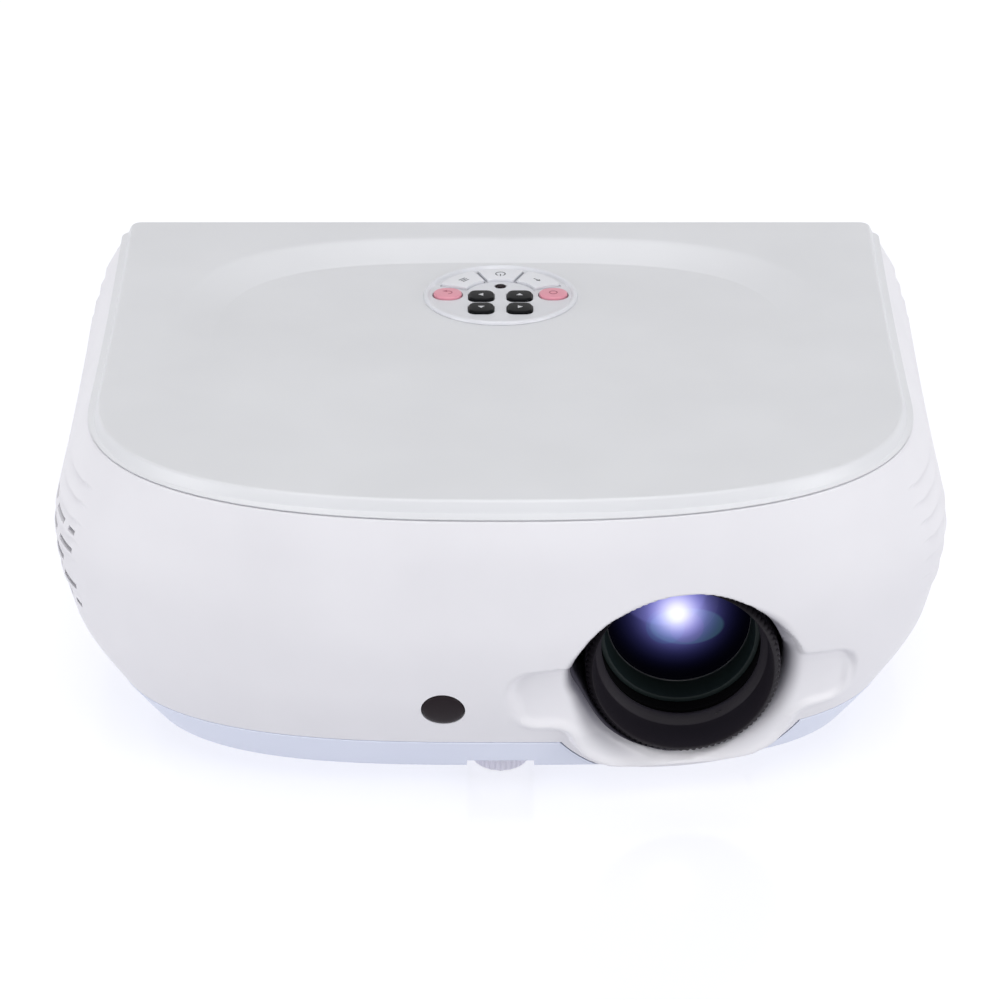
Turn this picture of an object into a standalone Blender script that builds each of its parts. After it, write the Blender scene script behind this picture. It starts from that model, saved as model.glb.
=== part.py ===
"""LED home projector: a rounded white case, a round keypad in a dished top and a large focus ring.

Metres, +Z up, origin under the middle of the case on the table. The lens looks along -Y and
+X is to the right of someone who faces the lens.
"""

import math

import bmesh
import bpy
from mathutils import Matrix, Vector

# Case
BODY_WIDTH = 0.2212
BODY_DEPTH = 0.168
BODY_HEIGHT = 0.085
FOOT_HEIGHT = 0.007
BOTTOM_COVER_HEIGHT = 0.010
TOP_BAND_HEIGHT = 0.004
WALL = 0.0022
COVER_WALL = 0.0020
FRONT_CORNER_DEPTH = 0.0652
REAR_CORNER_RADIUS = 0.006
BACK_FLARE = 0.0017
EDGE_ROUND = 0.0020
UNDERSIDE_ROUND = 0.0012
LIP_DEPTH = 0.003
LIP_WALL = 0.0012

# Clearances
SEAM = 0.0003
RUNNING_GAP = 0.0005
OVERRUN = 0.004
WELD_DISTANCE = 0.000001
AXIS_WELD_DISTANCE = 0.00001

# The sections of the case, from its underside to the rim of its top
STATION_SHARES = (0.0, 0.128, 0.333, 0.577, 0.808, 0.949, 1.0)
WIDTH_SHARES = (0.798, 0.874, 0.970, 1.0, 0.960, 0.915, 0.901)
DEPTH_SHARES = (0.775, 0.851, 0.951, 1.0, 0.986, 0.951, 0.920)
CORNER_POWERS = (3.08, 2.85, 2.45, 2.33, 2.33, 2.45, 2.6)
LOWER_WALL_SHARES = (0.35, 0.7)
INNER_WALL_SHARES = (0.0, 0.135, 0.39, 0.635, 0.88, 1.0)
FRONT_STEPS = 12
SIDE_STEPS = 4
REAR_CORNER_STEPS = 2

# Louvre ridges and vent slots on both sides
LOUVRE_TOP_DROP = 0.013
LOUVRE_PITCH = 0.005
LOUVRE_STEP = 0.0009
LOUVRE_COUNT = 7
LOUVRE_START = 0.036
LOUVRE_FADE = 0.006
SLOT_FIRST_ROW = 2
SLOT_ROWS = 5
SLOT_LENGTH = 0.0095
SLOT_HEIGHT = 0.0022
SLOT_PITCH = 0.0125
SLOT_START = 0.0425
EXHAUST_SLOTS = 7
INTAKE_SLOTS = 4
INTAKE_START = 0.080
FLOOR_VENTS = 6

# Dish in the top
DISH_DEPTH = 0.004
DISH_FRONT = 0.0555
DISH_RUN = 0.100
DISH_EASE_SHARE = 0.3
DISH_HALF_WIDTH = 0.085
DISH_REAR_MARGIN = 0.011
DISH_CENTRE = 0.081
DISH_BAND = 0.012
DISH_POWER = 3.3
DISH_RING_SHARES = (0.0, 0.35, 0.65, 1.0)
FLOOR_RING_SHARES = (0.72, 0.42, 0.16)
RIM_SHARE = 0.96

# Lens and its surround
LENS_X = 0.0437
LENS_Z = 0.036
SURROUND_RADIUS = 0.0256
WING_REACH = 0.043
SURROUND_WALL = 0.002
SURROUND_DEPTH = 0.007
SURROUND_SINK = 0.0012
SURROUND_LEAN_SHARE = 0.4
SURROUND_MIDDLE_DROP = 0.005
SURROUND_ARCH_START = math.radians(20)
SURROUND_ARCH_STEPS = 12
SURROUND_SHARES = (
    (0.61, 0.16, 0.14),
    (1.0, 0.04, 0.24),
    (0.97, -0.57, 0.24),
    (0.66, -0.57, 0.16),
    (0.56, -1.0, 0.45),
    (-0.56, -1.0, 0.45),
    (-0.65, -0.53, 0.16),
    (-0.94, -0.53, 0.24),
    (-1.0, 0.17, 0.27),
    (-0.61, 0.17, 0.14),
)
APRON_RADIUS = 0.0347
APRON_DEPTH = 0.0285
BORE_RADIUS = 0.0243
BORE_TUBE_WALL = 0.0025
BORE_TUBE_END = 0.0210
BORE_FLARE = 0.0006

# Focus ring and barrel, front to back
RING_SETBACK = 0.0135
RING_RADIUS = 0.0234
RING_LENGTH = 0.016
RING_NOSE = 0.002
RING_NOSE_RADIUS = 0.0220
RING_MOUTH_RADIUS = 0.0216
RING_THROAT_RADIUS = 0.0208
RING_FUNNEL_DEPTH = 0.007
RING_LIP_RADIUS = 0.0193
RING_STEP_DEPTH = 0.0023
RING_LIP = 0.0012
KNURL_COUNT = 40
KNURL_DEPTH = 0.0004
BARREL_SETBACK = 0.0127
BARREL_RADIUS = 0.0208
BARREL_LENGTH = 0.0356
BARREL_FRONT_BORE = 0.0198
BARREL_REAR_BORE = 0.0140
FRONT_LENS_DEPTH = 0.0242
FRONT_LENS_EDGE = 0.002
FRONT_LENS_BULGE = 0.0045
FRONT_LENS_BACK_BULGE = 0.0011
RETAINER_MOUTH = 0.0186
RETAINER_BORE = 0.0176
REAR_LENS_EDGE = 0.0018
REAR_LENS_BULGE = 0.0028
REAR_LENS_INSET = 0.004
MOUNT_WALL = 0.0022
MOUNT_LENGTH = 0.037
MOUNT_FLANGE = 0.002
TURNED_STEPS = 22

# Light engine, laid out along +X towards the mirror behind the lens
OPTIC_Y = 0.034
BOX_WIDTH = 0.084
BOX_HEIGHT = 0.047
BOX_WALL = 0.002
BOX_LEFT = -0.016
BOX_RIGHT = 0.075
COLLIMATOR_SETBACK = 0.0015
LCD_SETBACK = 0.0065
FIELD_SETBACK = 0.0125
FRESNEL_THICKNESS = 0.0015
LCD_THICKNESS = 0.0025
MIRROR_THICKNESS = 0.002
MIRROR_LENGTH = 0.0785
CONE_LENGTH = 0.0307
CONE_WALL = 0.0012
CONE_THROAT = 0.017
LED_BASE_RADIUS = 0.015
LED_BASE_THICKNESS = 0.0016
LED_DOME_RADIUS = 0.007
SINK_BASE = 0.005
SINK_DEPTH = 0.023
SINK_WIDTH = 0.052
SINK_BOTTOM = 0.014
SINK_HEIGHT = 0.048
FIN_COUNT = 12
FIN_THICKNESS = 0.0015

# Fans
FAN_SIZE = 0.050
FAN_THICKNESS = 0.015
FAN_BORE = 0.0238
FAN_HUB_RADIUS = 0.0095
FAN_HUB_LENGTH = 0.0105
FAN_BLADES = 7
FAN_TIP_GAP = 0.0010
FAN_PLATE = 0.0022
FAN_STRUTS = 4
FAN_STRUT_WIDTH = 0.0030
FAN_SHAFT_RADIUS = 0.0015
FAN_BOTTOM = 0.015
FAN_CORNER_RADIUS = 0.003
FAN_SCREW_RADIUS = 0.0021
FAN_SCREW_INSET = 0.004
FAN_RIB_SHARES = (-0.36, 0.36)
FAN_HUB_ROUND_SHARE = 0.1
BLADE_SINK_SHARE = 0.15
BLADE_THICKNESS = 0.0011
BLADE_CHORD = 0.0085
BLADE_SHARES = (0.0, 0.5, 1.0)
BLADE_ROOT_PITCH = math.radians(38)
BLADE_TIP_PITCH = math.radians(58)
EXHAUST_FAN_GAP = 0.0015
INTAKE_FAN_GAP = 0.002

# Keypad, in the frame of its round plate
PANEL_RADIUS = 0.0202
PANEL_FACE_RADIUS = 0.0187
PANEL_HOLE_RADIUS = 0.0193
PANEL_BACK_OFFSET = 0.0438
PANEL_RIM_HEIGHT = 0.0008
PANEL_FACE_HEIGHT = 0.0002
PANEL_SINK = 0.0002
PANEL_THICKNESS = 0.0016
PANEL_STEPS = 24
KEY_GAP = 0.0003
KEY_RISE = 0.0007
KEY_TRAVEL = 0.0006
KEY_FLANGE = 0.0005
KEY_FLANGE_THICKNESS = 0.0008
ARC_INNER = 0.0096
ARC_OUTER = 0.0168
ARC_SPAN = math.radians(42)
ARC_GAP = math.radians(5)
ARC_STEPS = 4
SIDE_KEY_X = 0.0138
SIDE_KEY_Y = 0.0002
SIDE_KEY_WIDTH = 0.0074
SIDE_KEY_DEPTH = 0.0070
SIDE_KEY_ROUND_SHARE = 0.46
PAD_KEY_X = 0.0050
PAD_KEY_UPPER_Y = -0.0012
PAD_KEY_LOWER_Y = -0.0096
PAD_KEY_WIDTH = 0.0064
PAD_KEY_DEPTH = 0.0066
PAD_KEY_ROUND = 0.0019
LAMP_RADIUS = 0.0013
LAMP_Y = 0.0062
KEYPAD_BOARD_RADIUS = 0.0235
KEYPAD_BOARD_THICKNESS = 0.0014
KEYPAD_RIB_INNER = 0.0206

# Infrared window
IR_X = -0.0137
IR_Z = 0.0293
IR_RADIUS = 0.0050
IR_LENGTH = 0.0033
IR_FLANGE = 0.0015
IR_FLANGE_THICKNESS = 0.0012
IR_BOSS_RADIUS = 0.0086
IR_BOSS_DEPTH = 0.0062
IR_BOARD_WIDTH = 0.019
IR_BOARD_HEIGHT = 0.014
BOARD_THICKNESS = 0.0016

# Rear panel and sockets
WINDOW_SIDE_MARGIN = 0.0246
WINDOW_BOTTOM = 0.021
WINDOW_TOP_DROP = 0.010
WINDOW_ROUND = 0.004
PANEL_LAP = 0.0025
REAR_PANEL_THICKNESS = 0.0018
BOARD_LEFT = -0.018
BOARD_RIGHT = 0.074
BOARD_FRONT = 0.020
BOARD_BACK = 0.076
STANDOFF_HEIGHT = 0.003
STANDOFF_RADIUS = 0.003
STANDOFF_INSET = 0.006
BOARD_PART_SHARES = (
    (0.30, 0.45, 0.20, 2.5),
    (0.62, 0.30, 0.12, 1.0),
    (0.62, 0.62, 0.10, 1.0),
    (0.85, 0.40, 0.08, 3.0),
)
SOCKET_DEPTH = 0.0135
SOCKET_WALL = 0.0008
SOCKET_PROUD = 0.0012
TONGUE_SHARE = 0.55
HDMI_X = 0.008
HDMI_WIDTH = 0.0152
HDMI_HEIGHT = 0.0058
USB_X = 0.029
USB_PITCH = 0.0175
USB_WIDTH = 0.0144
USB_HEIGHT = 0.0068
JACK_X = 0.0605
JACK_PITCH = 0.0115
JACK_WIDTH = 0.0090
JACK_HEIGHT = 0.0062
JACK_BARREL = 0.0030
JACK_BORE = 0.0018
INLET_X = -0.060
INLET_Z = 0.034
INLET_WIDTH = 0.0200
INLET_HEIGHT = 0.0125
INLET_DEPTH = 0.0170
INLET_FLANGE = 0.0030
INLET_FLANGE_THICKNESS = 0.0018
INLET_CAVITY_WIDTH = 0.0152
INLET_CAVITY_HEIGHT = 0.0076
INLET_CAVITY_DEPTH = 0.0130
INLET_CAVITY_ROUND_SHARE = 0.45
INLET_PIN_SPACING = 0.0086
INLET_PIN_RADIUS = 0.0012
INLET_PIN_LENGTH = 0.0090

# Power board and speaker
POWER_LEFT = -0.074
POWER_RIGHT = -0.013
POWER_FRONT = -0.054
POWER_BACK = -0.012
POWER_BOARD_Z = 0.0125
TRANSFORMER_SIZE = (0.022, 0.020, 0.017)
CAPACITOR_RADIUS = 0.007
CAPACITOR_LENGTH = 0.020
SPEAKER_X = 0.075
SPEAKER_TO_BOX = 0.004
SPEAKER_THICKNESS = 0.013
SPEAKER_LENGTH = 0.028
SPEAKER_HEIGHT = 0.036
SPEAKER_CONE_RADIUS = 0.0115
SPEAKER_CONE_DEPTH = 0.004

# Feet and case screws
TILT_Y = -0.054
KNOB_RADIUS = 0.0072
KNOB_RIBS = 20
KNOB_RIB_DEPTH = 0.0004
KNOB_HEIGHT = 0.0071
PAD_RADIUS = 0.0062
PAD_HEIGHT = 0.0018
NOTCH_HALF_WIDTH = 0.0082
NOTCH_HEIGHT = 0.0026
NOTCH_ROOF = 0.0016
FOOT_BOSS_RADIUS = 0.0078
FOOT_BOSS_TOP = 0.0225
TILT_SCREW_RADIUS = 0.0029
TILT_SCREW_TOP = 0.0235
INSERT_WALL = 0.0020
REAR_FOOT_RADIUS = 0.0070
REAR_FOOT_X = 0.066
REAR_FOOT_Y = 0.058
REAR_FOOT_TIP_SHARE = 0.88
POST_X = 0.080
POST_FRONT_Y = -0.004
POST_BACK_Y = 0.070
POST_RADIUS = 0.0043
POST_TOP = 0.034
WEB_THICKNESS = 0.0018
SCREW_RADIUS = 0.0014
SCREW_HEAD_RADIUS = 0.0029
SCREW_HEAD_HEIGHT = 0.0018
SCREW_RECESS = 0.0040
SCREW_LENGTH = 0.015
RIB_WIDTH = 0.003

# Worked out from the sizes above
SHELL_HEIGHT = BODY_HEIGHT - FOOT_HEIGHT
HALF_WIDTH = BODY_WIDTH / 2
FRONT_Y = -BODY_DEPTH / 2
BACK_Y = BODY_DEPTH / 2
SIDE_START_Y = FRONT_Y + FRONT_CORNER_DEPTH
BOTTOM_SEAM_Z = FOOT_HEIGHT + BOTTOM_COVER_HEIGHT
TOP_SEAM_Z = BODY_HEIGHT - TOP_BAND_HEIGHT
FLOOR_Z = FOOT_HEIGHT + WALL
RING_FRONT_Y = FRONT_Y + RING_SETBACK
BOX_FRONT_Y = OPTIC_Y - BOX_WIDTH / 2
BOX_BACK_Y = OPTIC_Y + BOX_WIDTH / 2
SPEAKER_Y = BOX_FRONT_Y - SPEAKER_TO_BOX - SPEAKER_LENGTH / 2
BOX_BOTTOM_Z = LENS_Z - BOX_HEIGHT / 2
BOX_TOP_Z = LENS_Z + BOX_HEIGHT / 2
BOARD_Z = BOX_TOP_Z + STANDOFF_HEIGHT + SEAM
BOARD_TOP_Z = BOARD_Z + BOARD_THICKNESS
WINDOW_WIDTH = BODY_WIDTH - 2 * WINDOW_SIDE_MARGIN
WINDOW_TOP = BODY_HEIGHT - WINDOW_TOP_DROP
REAR_PANEL_Y = BACK_Y - WALL - SEAM
PANEL_Y = BACK_Y - PANEL_BACK_OFFSET
DISH_CENTRE_Y = BACK_Y - DISH_CENTRE
DISH_SLOPE = DISH_DEPTH / (DISH_RUN * (1 - DISH_EASE_SHARE / 2))
PANEL_TILT = -math.atan(DISH_SLOPE)
SINK_FACE_X = BOX_LEFT - SEAM - CONE_LENGTH - SEAM - LED_BASE_THICKNESS - SEAM
LED_X = SINK_FACE_X + SEAM
EXHAUST_FAN_X = SINK_FACE_X - SINK_DEPTH - EXHAUST_FAN_GAP - FAN_THICKNESS / 2
INTAKE_FAN_X = BOX_RIGHT + INTAKE_FAN_GAP + FAN_THICKNESS / 2
FAN_Z = FAN_BOTTOM + FAN_SIZE / 2


def clear_scene():
    for old in list(bpy.data.objects):
        bpy.data.objects.remove(old, do_unlink=True)


clear_scene()
PARTS = bpy.data.collections.new("led_projector")
CUTTERS = bpy.data.collections.new("cutters")
bpy.context.scene.collection.children.link(PARTS)
bpy.context.scene.collection.children.link(CUTTERS)


# Materials
def material(name, colour, roughness, metallic=0.0):
    made = bpy.data.materials.new(name)
    made.use_nodes = True
    shader = made.node_tree.nodes["Principled BSDF"]
    shader.inputs["Base Color"].default_value = (*colour, 1.0)
    shader.inputs["Roughness"].default_value = roughness
    shader.inputs["Metallic"].default_value = metallic
    return made


WHITE = (0.80, 0.80, 0.83)
DISH_GREY = (0.66, 0.67, 0.69)
BLUE_WHITE = (0.66, 0.69, 0.80)
BLACK = (0.015, 0.015, 0.018)
PINK = (0.72, 0.30, 0.34)
CIRCUIT_GREEN = (0.02, 0.13, 0.06)
METAL = (0.62, 0.63, 0.65)
BRASS = (0.60, 0.44, 0.18)
GLASS = (0.30, 0.33, 0.42)


# Mesh building
def new_object(name, mesh, helper=False):
    made = bpy.data.objects.new(name, mesh)
    (CUTTERS if helper else PARTS).objects.link(made)
    if helper:
        made.hide_render = True
        made.display_type = "WIRE"
    return made


def object_from(name, shape, helper=False, smooth=False):
    bmesh.ops.recalc_face_normals(shape, faces=shape.faces)
    mesh = bpy.data.meshes.new(name)
    shape.to_mesh(mesh)
    shape.free()
    if smooth:
        mesh.shade_smooth()
        mesh.set_sharp_from_angle(angle=math.radians(35))
    return new_object(name, mesh, helper)


def finish(piece, look):
    piece.data.materials.clear()
    piece.data.materials.append(look)
    return piece


def boolean(piece, other, operation, solver="EXACT"):
    step = piece.modifiers.new(f"{operation.lower()} {other.name}", "BOOLEAN")
    step.operation = operation
    step.object = other
    step.solver = solver
    return piece


def cut(piece, *others, solver="EXACT"):
    for other in others:
        boolean(piece, other, "DIFFERENCE", solver)
    return piece


def add(piece, *others, solver="EXACT"):
    for other in others:
        boolean(piece, other, "UNION", solver)
    return piece


def keep(piece, other):
    return boolean(piece, other, "INTERSECT")


def add_box(shape, low, high):
    """A box between two corners, from a unit cube."""
    size = Vector(high) - Vector(low)
    middle = (Vector(high) + Vector(low)) / 2
    place = Matrix.Translation(middle) @ Matrix.Diagonal((*size, 1.0))
    bmesh.ops.create_cube(shape, size=1.0, matrix=place)


def box(name, low, high, helper=False, round_edges=0.0):
    shape = bmesh.new()
    add_box(shape, low, high)
    piece = object_from(name, shape, helper)
    if round_edges:
        bevel = piece.modifiers.new("rounded edges", "BEVEL")
        bevel.width = round_edges
        bevel.segments = 2
    return piece


AXES = {
    "X": Matrix.Rotation(math.radians(90), 4, "Y"),
    "Y": Matrix.Rotation(math.radians(-90), 4, "X"),
    "Z": Matrix.Identity(4),
}


def add_cylinder(shape, start, length, radius, axis="Z", steps=TURNED_STEPS, end_radius=None):
    """A cylinder or cone from start, along the positive axis."""
    shift = Matrix.Translation(Vector(start)) @ AXES[axis] @ Matrix.Translation((0, 0, length / 2))
    far_radius = radius if end_radius is None else end_radius
    bmesh.ops.create_cone(
        shape,
        cap_ends=True,
        segments=steps,
        radius1=radius,
        radius2=far_radius,
        depth=length,
        matrix=shift,
    )


def cylinder(name, start, length, radius, axis="Z", steps=TURNED_STEPS, helper=False):
    shape = bmesh.new()
    add_cylinder(shape, start, length, radius, axis, steps)
    return object_from(name, shape, helper, smooth=True)


def turned(name, profile, steps=TURNED_STEPS, helper=False):
    """A shape turned about the local Z axis: the profile is (radius, height), outer side first."""
    shape = bmesh.new()
    corners = [shape.verts.new((radius, 0.0, height)) for radius, height in profile]
    closed = profile[0][0] > 0 and profile[-1][0] > 0
    for first, second in zip(corners, corners[1:] + corners[:1] if closed else corners[1:]):
        shape.edges.new((first, second))
    mesh = bpy.data.meshes.new(name)
    shape.to_mesh(mesh)
    shape.free()
    piece = new_object(name, mesh, helper)
    screw = piece.modifiers.new("turned", "SCREW")
    screw.steps = steps
    screw.render_steps = steps
    screw.use_merge_vertices = True
    screw.merge_threshold = AXIS_WELD_DISTANCE
    screw.use_smooth_shade = True
    return piece


def loft(name, rings, looped=False, capped=True, helper=False, smooth=False):
    """Joins rings of equally many points. A looped loft returns to its first ring, as a shell."""
    shape = bmesh.new()
    layers = [[shape.verts.new(point) for point in ring] for ring in rings]
    pairs = list(zip(layers, layers[1:]))
    if looped:
        pairs.append((layers[-1], layers[0]))
    for lower, upper in pairs:
        count = len(lower)
        for index in range(count):
            follower = (index + 1) % count
            shape.faces.new((lower[index], lower[follower], upper[follower], upper[index]))
    if capped and not looped:
        shape.faces.new(layers[0])
        shape.faces.new(list(reversed(layers[-1])))
    return object_from(name, shape, helper, smooth)


def flat_piece(name, outlines, thickness, helper=False):
    """A plate of 2D outlines, holes included, from a filled curve; its middle lies at local Z = 0."""
    curve = bpy.data.curves.new(name, "CURVE")
    curve.dimensions = "2D"
    curve.fill_mode = "BOTH"
    curve.extrude = thickness / 2
    for outline in outlines:
        spline = curve.splines.new("POLY")
        spline.points.add(len(outline) - 1)
        for point, (across, up) in zip(spline.points, outline):
            point.co = (across, up, 0.0, 1.0)
        spline.use_cyclic_u = True
    drawn = bpy.data.objects.new(name + " outline", curve)
    CUTTERS.objects.link(drawn)
    bpy.context.view_layer.update()
    graph = bpy.context.evaluated_depsgraph_get()
    mesh = bpy.data.meshes.new_from_object(drawn.evaluated_get(graph))
    bpy.data.objects.remove(drawn, do_unlink=True)
    shape = bmesh.new()
    shape.from_mesh(mesh)
    bpy.data.meshes.remove(mesh)
    bmesh.ops.remove_doubles(shape, verts=shape.verts, dist=WELD_DISTANCE)
    return object_from(name, shape, helper)


def upright(piece, middle_y):
    """Stands a flat piece up, so that its outline lies in X and Z and its thickness along Y."""
    turn = Matrix.Translation((0, middle_y, 0)) @ Matrix.Rotation(math.radians(90), 4, "X")
    piece.data.transform(turn)
    return piece


def sideways(piece, middle_x):
    """Turns a flat piece so that its outline lies in Y and Z and its thickness along X."""
    turn = Matrix(((0, 0, 1, middle_x), (1, 0, 0, 0), (0, 1, 0, 0), (0, 0, 0, 1)))
    piece.data.transform(turn)
    return piece


def at_height(piece, middle_z):
    piece.data.transform(Matrix.Translation((0, 0, middle_z)))
    return piece


# Outlines
def rounded_outline(corners, steps=4):
    """A closed outline through (x, y, radius) corners, each rounded by an arc."""
    outline = []
    for index, (x, y, radius) in enumerate(corners):
        if radius == 0:
            outline.append((x, y))
            continue
        corner = Vector((x, y))
        before = (Vector(corners[index - 1][:2]) - corner).normalized()
        after = (Vector(corners[(index + 1) % len(corners)][:2]) - corner).normalized()
        half_angle = before.angle(after) / 2
        reach = radius / math.tan(half_angle)
        centre = corner + (before + after).normalized() * radius / math.sin(half_angle)
        start = corner + before * reach - centre
        sweep = start.angle_signed(corner + after * reach - centre)
        for step in range(steps + 1):
            turned_arm = start.copy()
            turned_arm.rotate(Matrix.Rotation(-sweep * step / steps, 2))
            outline.append(tuple(centre + turned_arm))
    return outline


def rounded_rectangle(middle, width, height, radius, steps=3):
    x, y = middle
    right, top = x + width / 2, y + height / 2
    left, bottom = x - width / 2, y - height / 2
    corners = ((right, top), (left, top), (left, bottom), (right, bottom))
    return rounded_outline([(*corner, radius) for corner in corners], steps)


def circle(middle, radius, steps=24):
    x, y = middle
    turns = [2 * math.pi * step / steps for step in range(steps)]
    return [(x + radius * math.cos(turn), y + radius * math.sin(turn)) for turn in turns]


def toothed(radius, depth, count):
    """A fine knurl: two points a tooth, high and low."""
    turns = [math.pi * step / count for step in range(2 * count)]
    sizes = [radius - depth * (step % 2) for step in range(2 * count)]
    return [(size * math.cos(turn), size * math.sin(turn)) for size, turn in zip(sizes, turns)]


def grown(outline, margin):
    """The outline moved outwards by a margin, corner by corner."""
    area = sum(a[0] * b[1] - b[0] * a[1] for a, b in zip(outline, outline[1:] + outline[:1]))
    sign = 1 if area > 0 else -1
    moved = []
    for index, point in enumerate(outline):
        before = Vector(outline[index - 1])
        after = Vector(outline[(index + 1) % len(outline)])
        along = (after - before).normalized()
        moved.append((point[0] + sign * margin * along.y, point[1] - sign * margin * along.x))
    return moved


# The surface of the case
def eased(place, stations, values):
    """A smooth, monotone curve through values at the stations."""
    last = len(stations) - 1
    slopes = [
        (values[index + 1] - values[index]) / (stations[index + 1] - stations[index])
        for index in range(last)
    ]
    grades = [slopes[0]]
    for before, after in zip(slopes, slopes[1:]):
        grades.append(2 * before * after / (before + after) if before * after > 0 else 0.0)
    grades.append(slopes[-1])
    place = min(max(place, stations[0]), stations[-1])
    index = 0
    while index < last - 1 and place > stations[index + 1]:
        index += 1
    span = stations[index + 1] - stations[index]
    share = (place - stations[index]) / span
    rest = 1 - share
    return (
        (1 + 2 * share) * rest * rest * values[index]
        + share * rest * rest * span * grades[index]
        + share * share * (3 - 2 * share) * values[index + 1]
        - share * share * rest * span * grades[index + 1]
    )


def section_sizes(z, inset=0.0):
    """Half the width, the depth of the front curve and its power at one height."""
    share = (z - FOOT_HEIGHT) / SHELL_HEIGHT
    half = HALF_WIDTH * eased(share, STATION_SHARES, WIDTH_SHARES) - inset
    depth = FRONT_CORNER_DEPTH * eased(share, STATION_SHARES, DEPTH_SHARES) - inset
    return half, depth, eased(share, STATION_SHARES, CORNER_POWERS)


def front_y(x, z, inset=0.0):
    """The Y of the front surface at one X and height."""
    half, depth, power = section_sizes(z, inset)
    share = min(abs(x) / half, 1.0)
    return SIDE_START_Y - depth * (1 - share**power) ** (1 / power)


def side_x(y, z, inset=0.0):
    """The X of the right side at one Y and height."""
    half, depth, power = section_sizes(z, inset)
    if y < SIDE_START_Y:
        share = min((SIDE_START_Y - y) / depth, 1.0)
        return half * (1 - share**power) ** (1 / power)
    share = (y - SIDE_START_Y) / (BACK_Y - SIDE_START_Y)
    return half + BACK_FLARE * share * share


def half_section(z, inset=0.0):
    """The right half of a level section, from the middle of the front to the back corner."""
    half, depth, power = section_sizes(z, inset)
    points = []
    for step in range(FRONT_STEPS + 1):
        angle = math.pi / 2 * step / FRONT_STEPS
        across = half * math.sin(angle) ** (2 / power)
        ahead = depth * max(math.cos(angle), 0.0) ** (2 / power)
        points.append((across, SIDE_START_Y - ahead))
    back = BACK_Y - inset
    radius = max(REAR_CORNER_RADIUS - inset, REAR_CORNER_RADIUS / 4)
    corner_y = back - radius
    for step in range(1, SIDE_STEPS + 1):
        y = SIDE_START_Y + (corner_y - SIDE_START_Y) * step / SIDE_STEPS
        points.append((side_x(y, z, inset), y))
    corner_x = points[-1][0] - radius
    for step in range(1, REAR_CORNER_STEPS + 1):
        angle = math.pi / 2 * step / REAR_CORNER_STEPS
        points.append((corner_x + radius * math.cos(angle), corner_y + radius * math.sin(angle)))
    return points


def section(z, inset=0.0, ridge=0.0):
    """A whole level section. A ridge stands out by its height where the louvres run."""
    right = half_section(z, inset)
    if ridge:
        right = raised(right, ridge)
    left = [(-x, y) for x, y in reversed(right[1:])]
    return [(x, y, z) for x, y in right + left]


def raised(points, ridge):
    """Moves the points of a half section outwards by the ridge, fading in behind the front."""
    moved = list(points)
    start = FRONT_Y + LOUVRE_START
    for index in range(1, FRONT_STEPS + SIDE_STEPS + 1):
        x, y = points[index]
        along = (Vector(points[index + 1]) - Vector(points[index - 1])).normalized()
        fade = min(max((y - start) / LOUVRE_FADE, 0.0), 1.0)
        lift = ridge * fade * fade * (3 - 2 * fade)
        moved[index] = (x + lift * along.y, y - lift * along.x)
    return moved


def solid_case(name, low, high, inset, steps=8):
    """A closed, plain solid of the case between two heights."""
    heights = [low + (high - low) * step / steps for step in range(steps + 1)]
    return loft(name, [section(z, inset) for z in heights], helper=True)


def louvre_heights():
    top = BODY_HEIGHT - LOUVRE_TOP_DROP
    return [top - LOUVRE_PITCH * index for index in range(LOUVRE_COUNT)]


# Main housing
def surround_outline(margin=0.0):
    """The moulded surround of the lens: a round arch with a wing on each side."""
    corners = [
        (LENS_X + across * WING_REACH, LENS_Z + up * SURROUND_RADIUS, turn * SURROUND_RADIUS)
        for across, up, turn in SURROUND_SHARES
    ]
    sweep = math.pi - 2 * SURROUND_ARCH_START
    for step in range(SURROUND_ARCH_STEPS + 1):
        turn = math.pi - SURROUND_ARCH_START - sweep * step / SURROUND_ARCH_STEPS
        across, up = math.cos(turn), math.sin(turn)
        corners.append((LENS_X + across * SURROUND_RADIUS, LENS_Z + up * SURROUND_RADIUS, 0))
    outline = rounded_outline(corners, 3)
    return grown(outline, margin) if margin else outline


def surround_prism(name, margin=0.0):
    length = BODY_DEPTH / 3
    prism = flat_piece(name, [surround_outline(margin)], length, helper=True)
    return upright(prism, FRONT_Y - OVERRUN + length / 2)


def surround_floor(name, inset):
    """The case with its lean flattened about the surround, which is the floor that it is sunk to."""
    middle = LENS_Z - SURROUND_MIDDLE_DROP
    low, high, steps = FOOT_HEIGHT, BODY_HEIGHT - LOUVRE_TOP_DROP, 7
    rings = []
    for step in range(steps + 1):
        z = low + (high - low) * step / steps
        like_z = middle + (z - middle) * SURROUND_LEAN_SHARE
        rings.append([(x, y, z) for x, y, _ in section(like_z, inset)])
    return loft(name, rings, helper=True)


def housing_walls():
    heights = [FOOT_HEIGHT, (FOOT_HEIGHT + BOTTOM_SEAM_Z) / 2, BOTTOM_SEAM_Z]
    lowest_line = louvre_heights()[-1]
    lower = lowest_line - BOTTOM_SEAM_Z
    heights += [BOTTOM_SEAM_Z + lower * share for share in LOWER_WALL_SHARES]
    rings = [section(z) for z in heights]
    for z in reversed(louvre_heights()):
        rings.append(section(z - SEAM))
        rings.append(section(z + SEAM, ridge=LOUVRE_STEP))
    rings.append(section(TOP_SEAM_Z))
    tall = TOP_SEAM_Z - FOOT_HEIGHT
    inner = [FOOT_HEIGHT + tall * share for share in INNER_WALL_SHARES]
    rings += [section(z, WALL) for z in reversed(inner)]
    return loft("main_housing", rings, looped=True)


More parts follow.
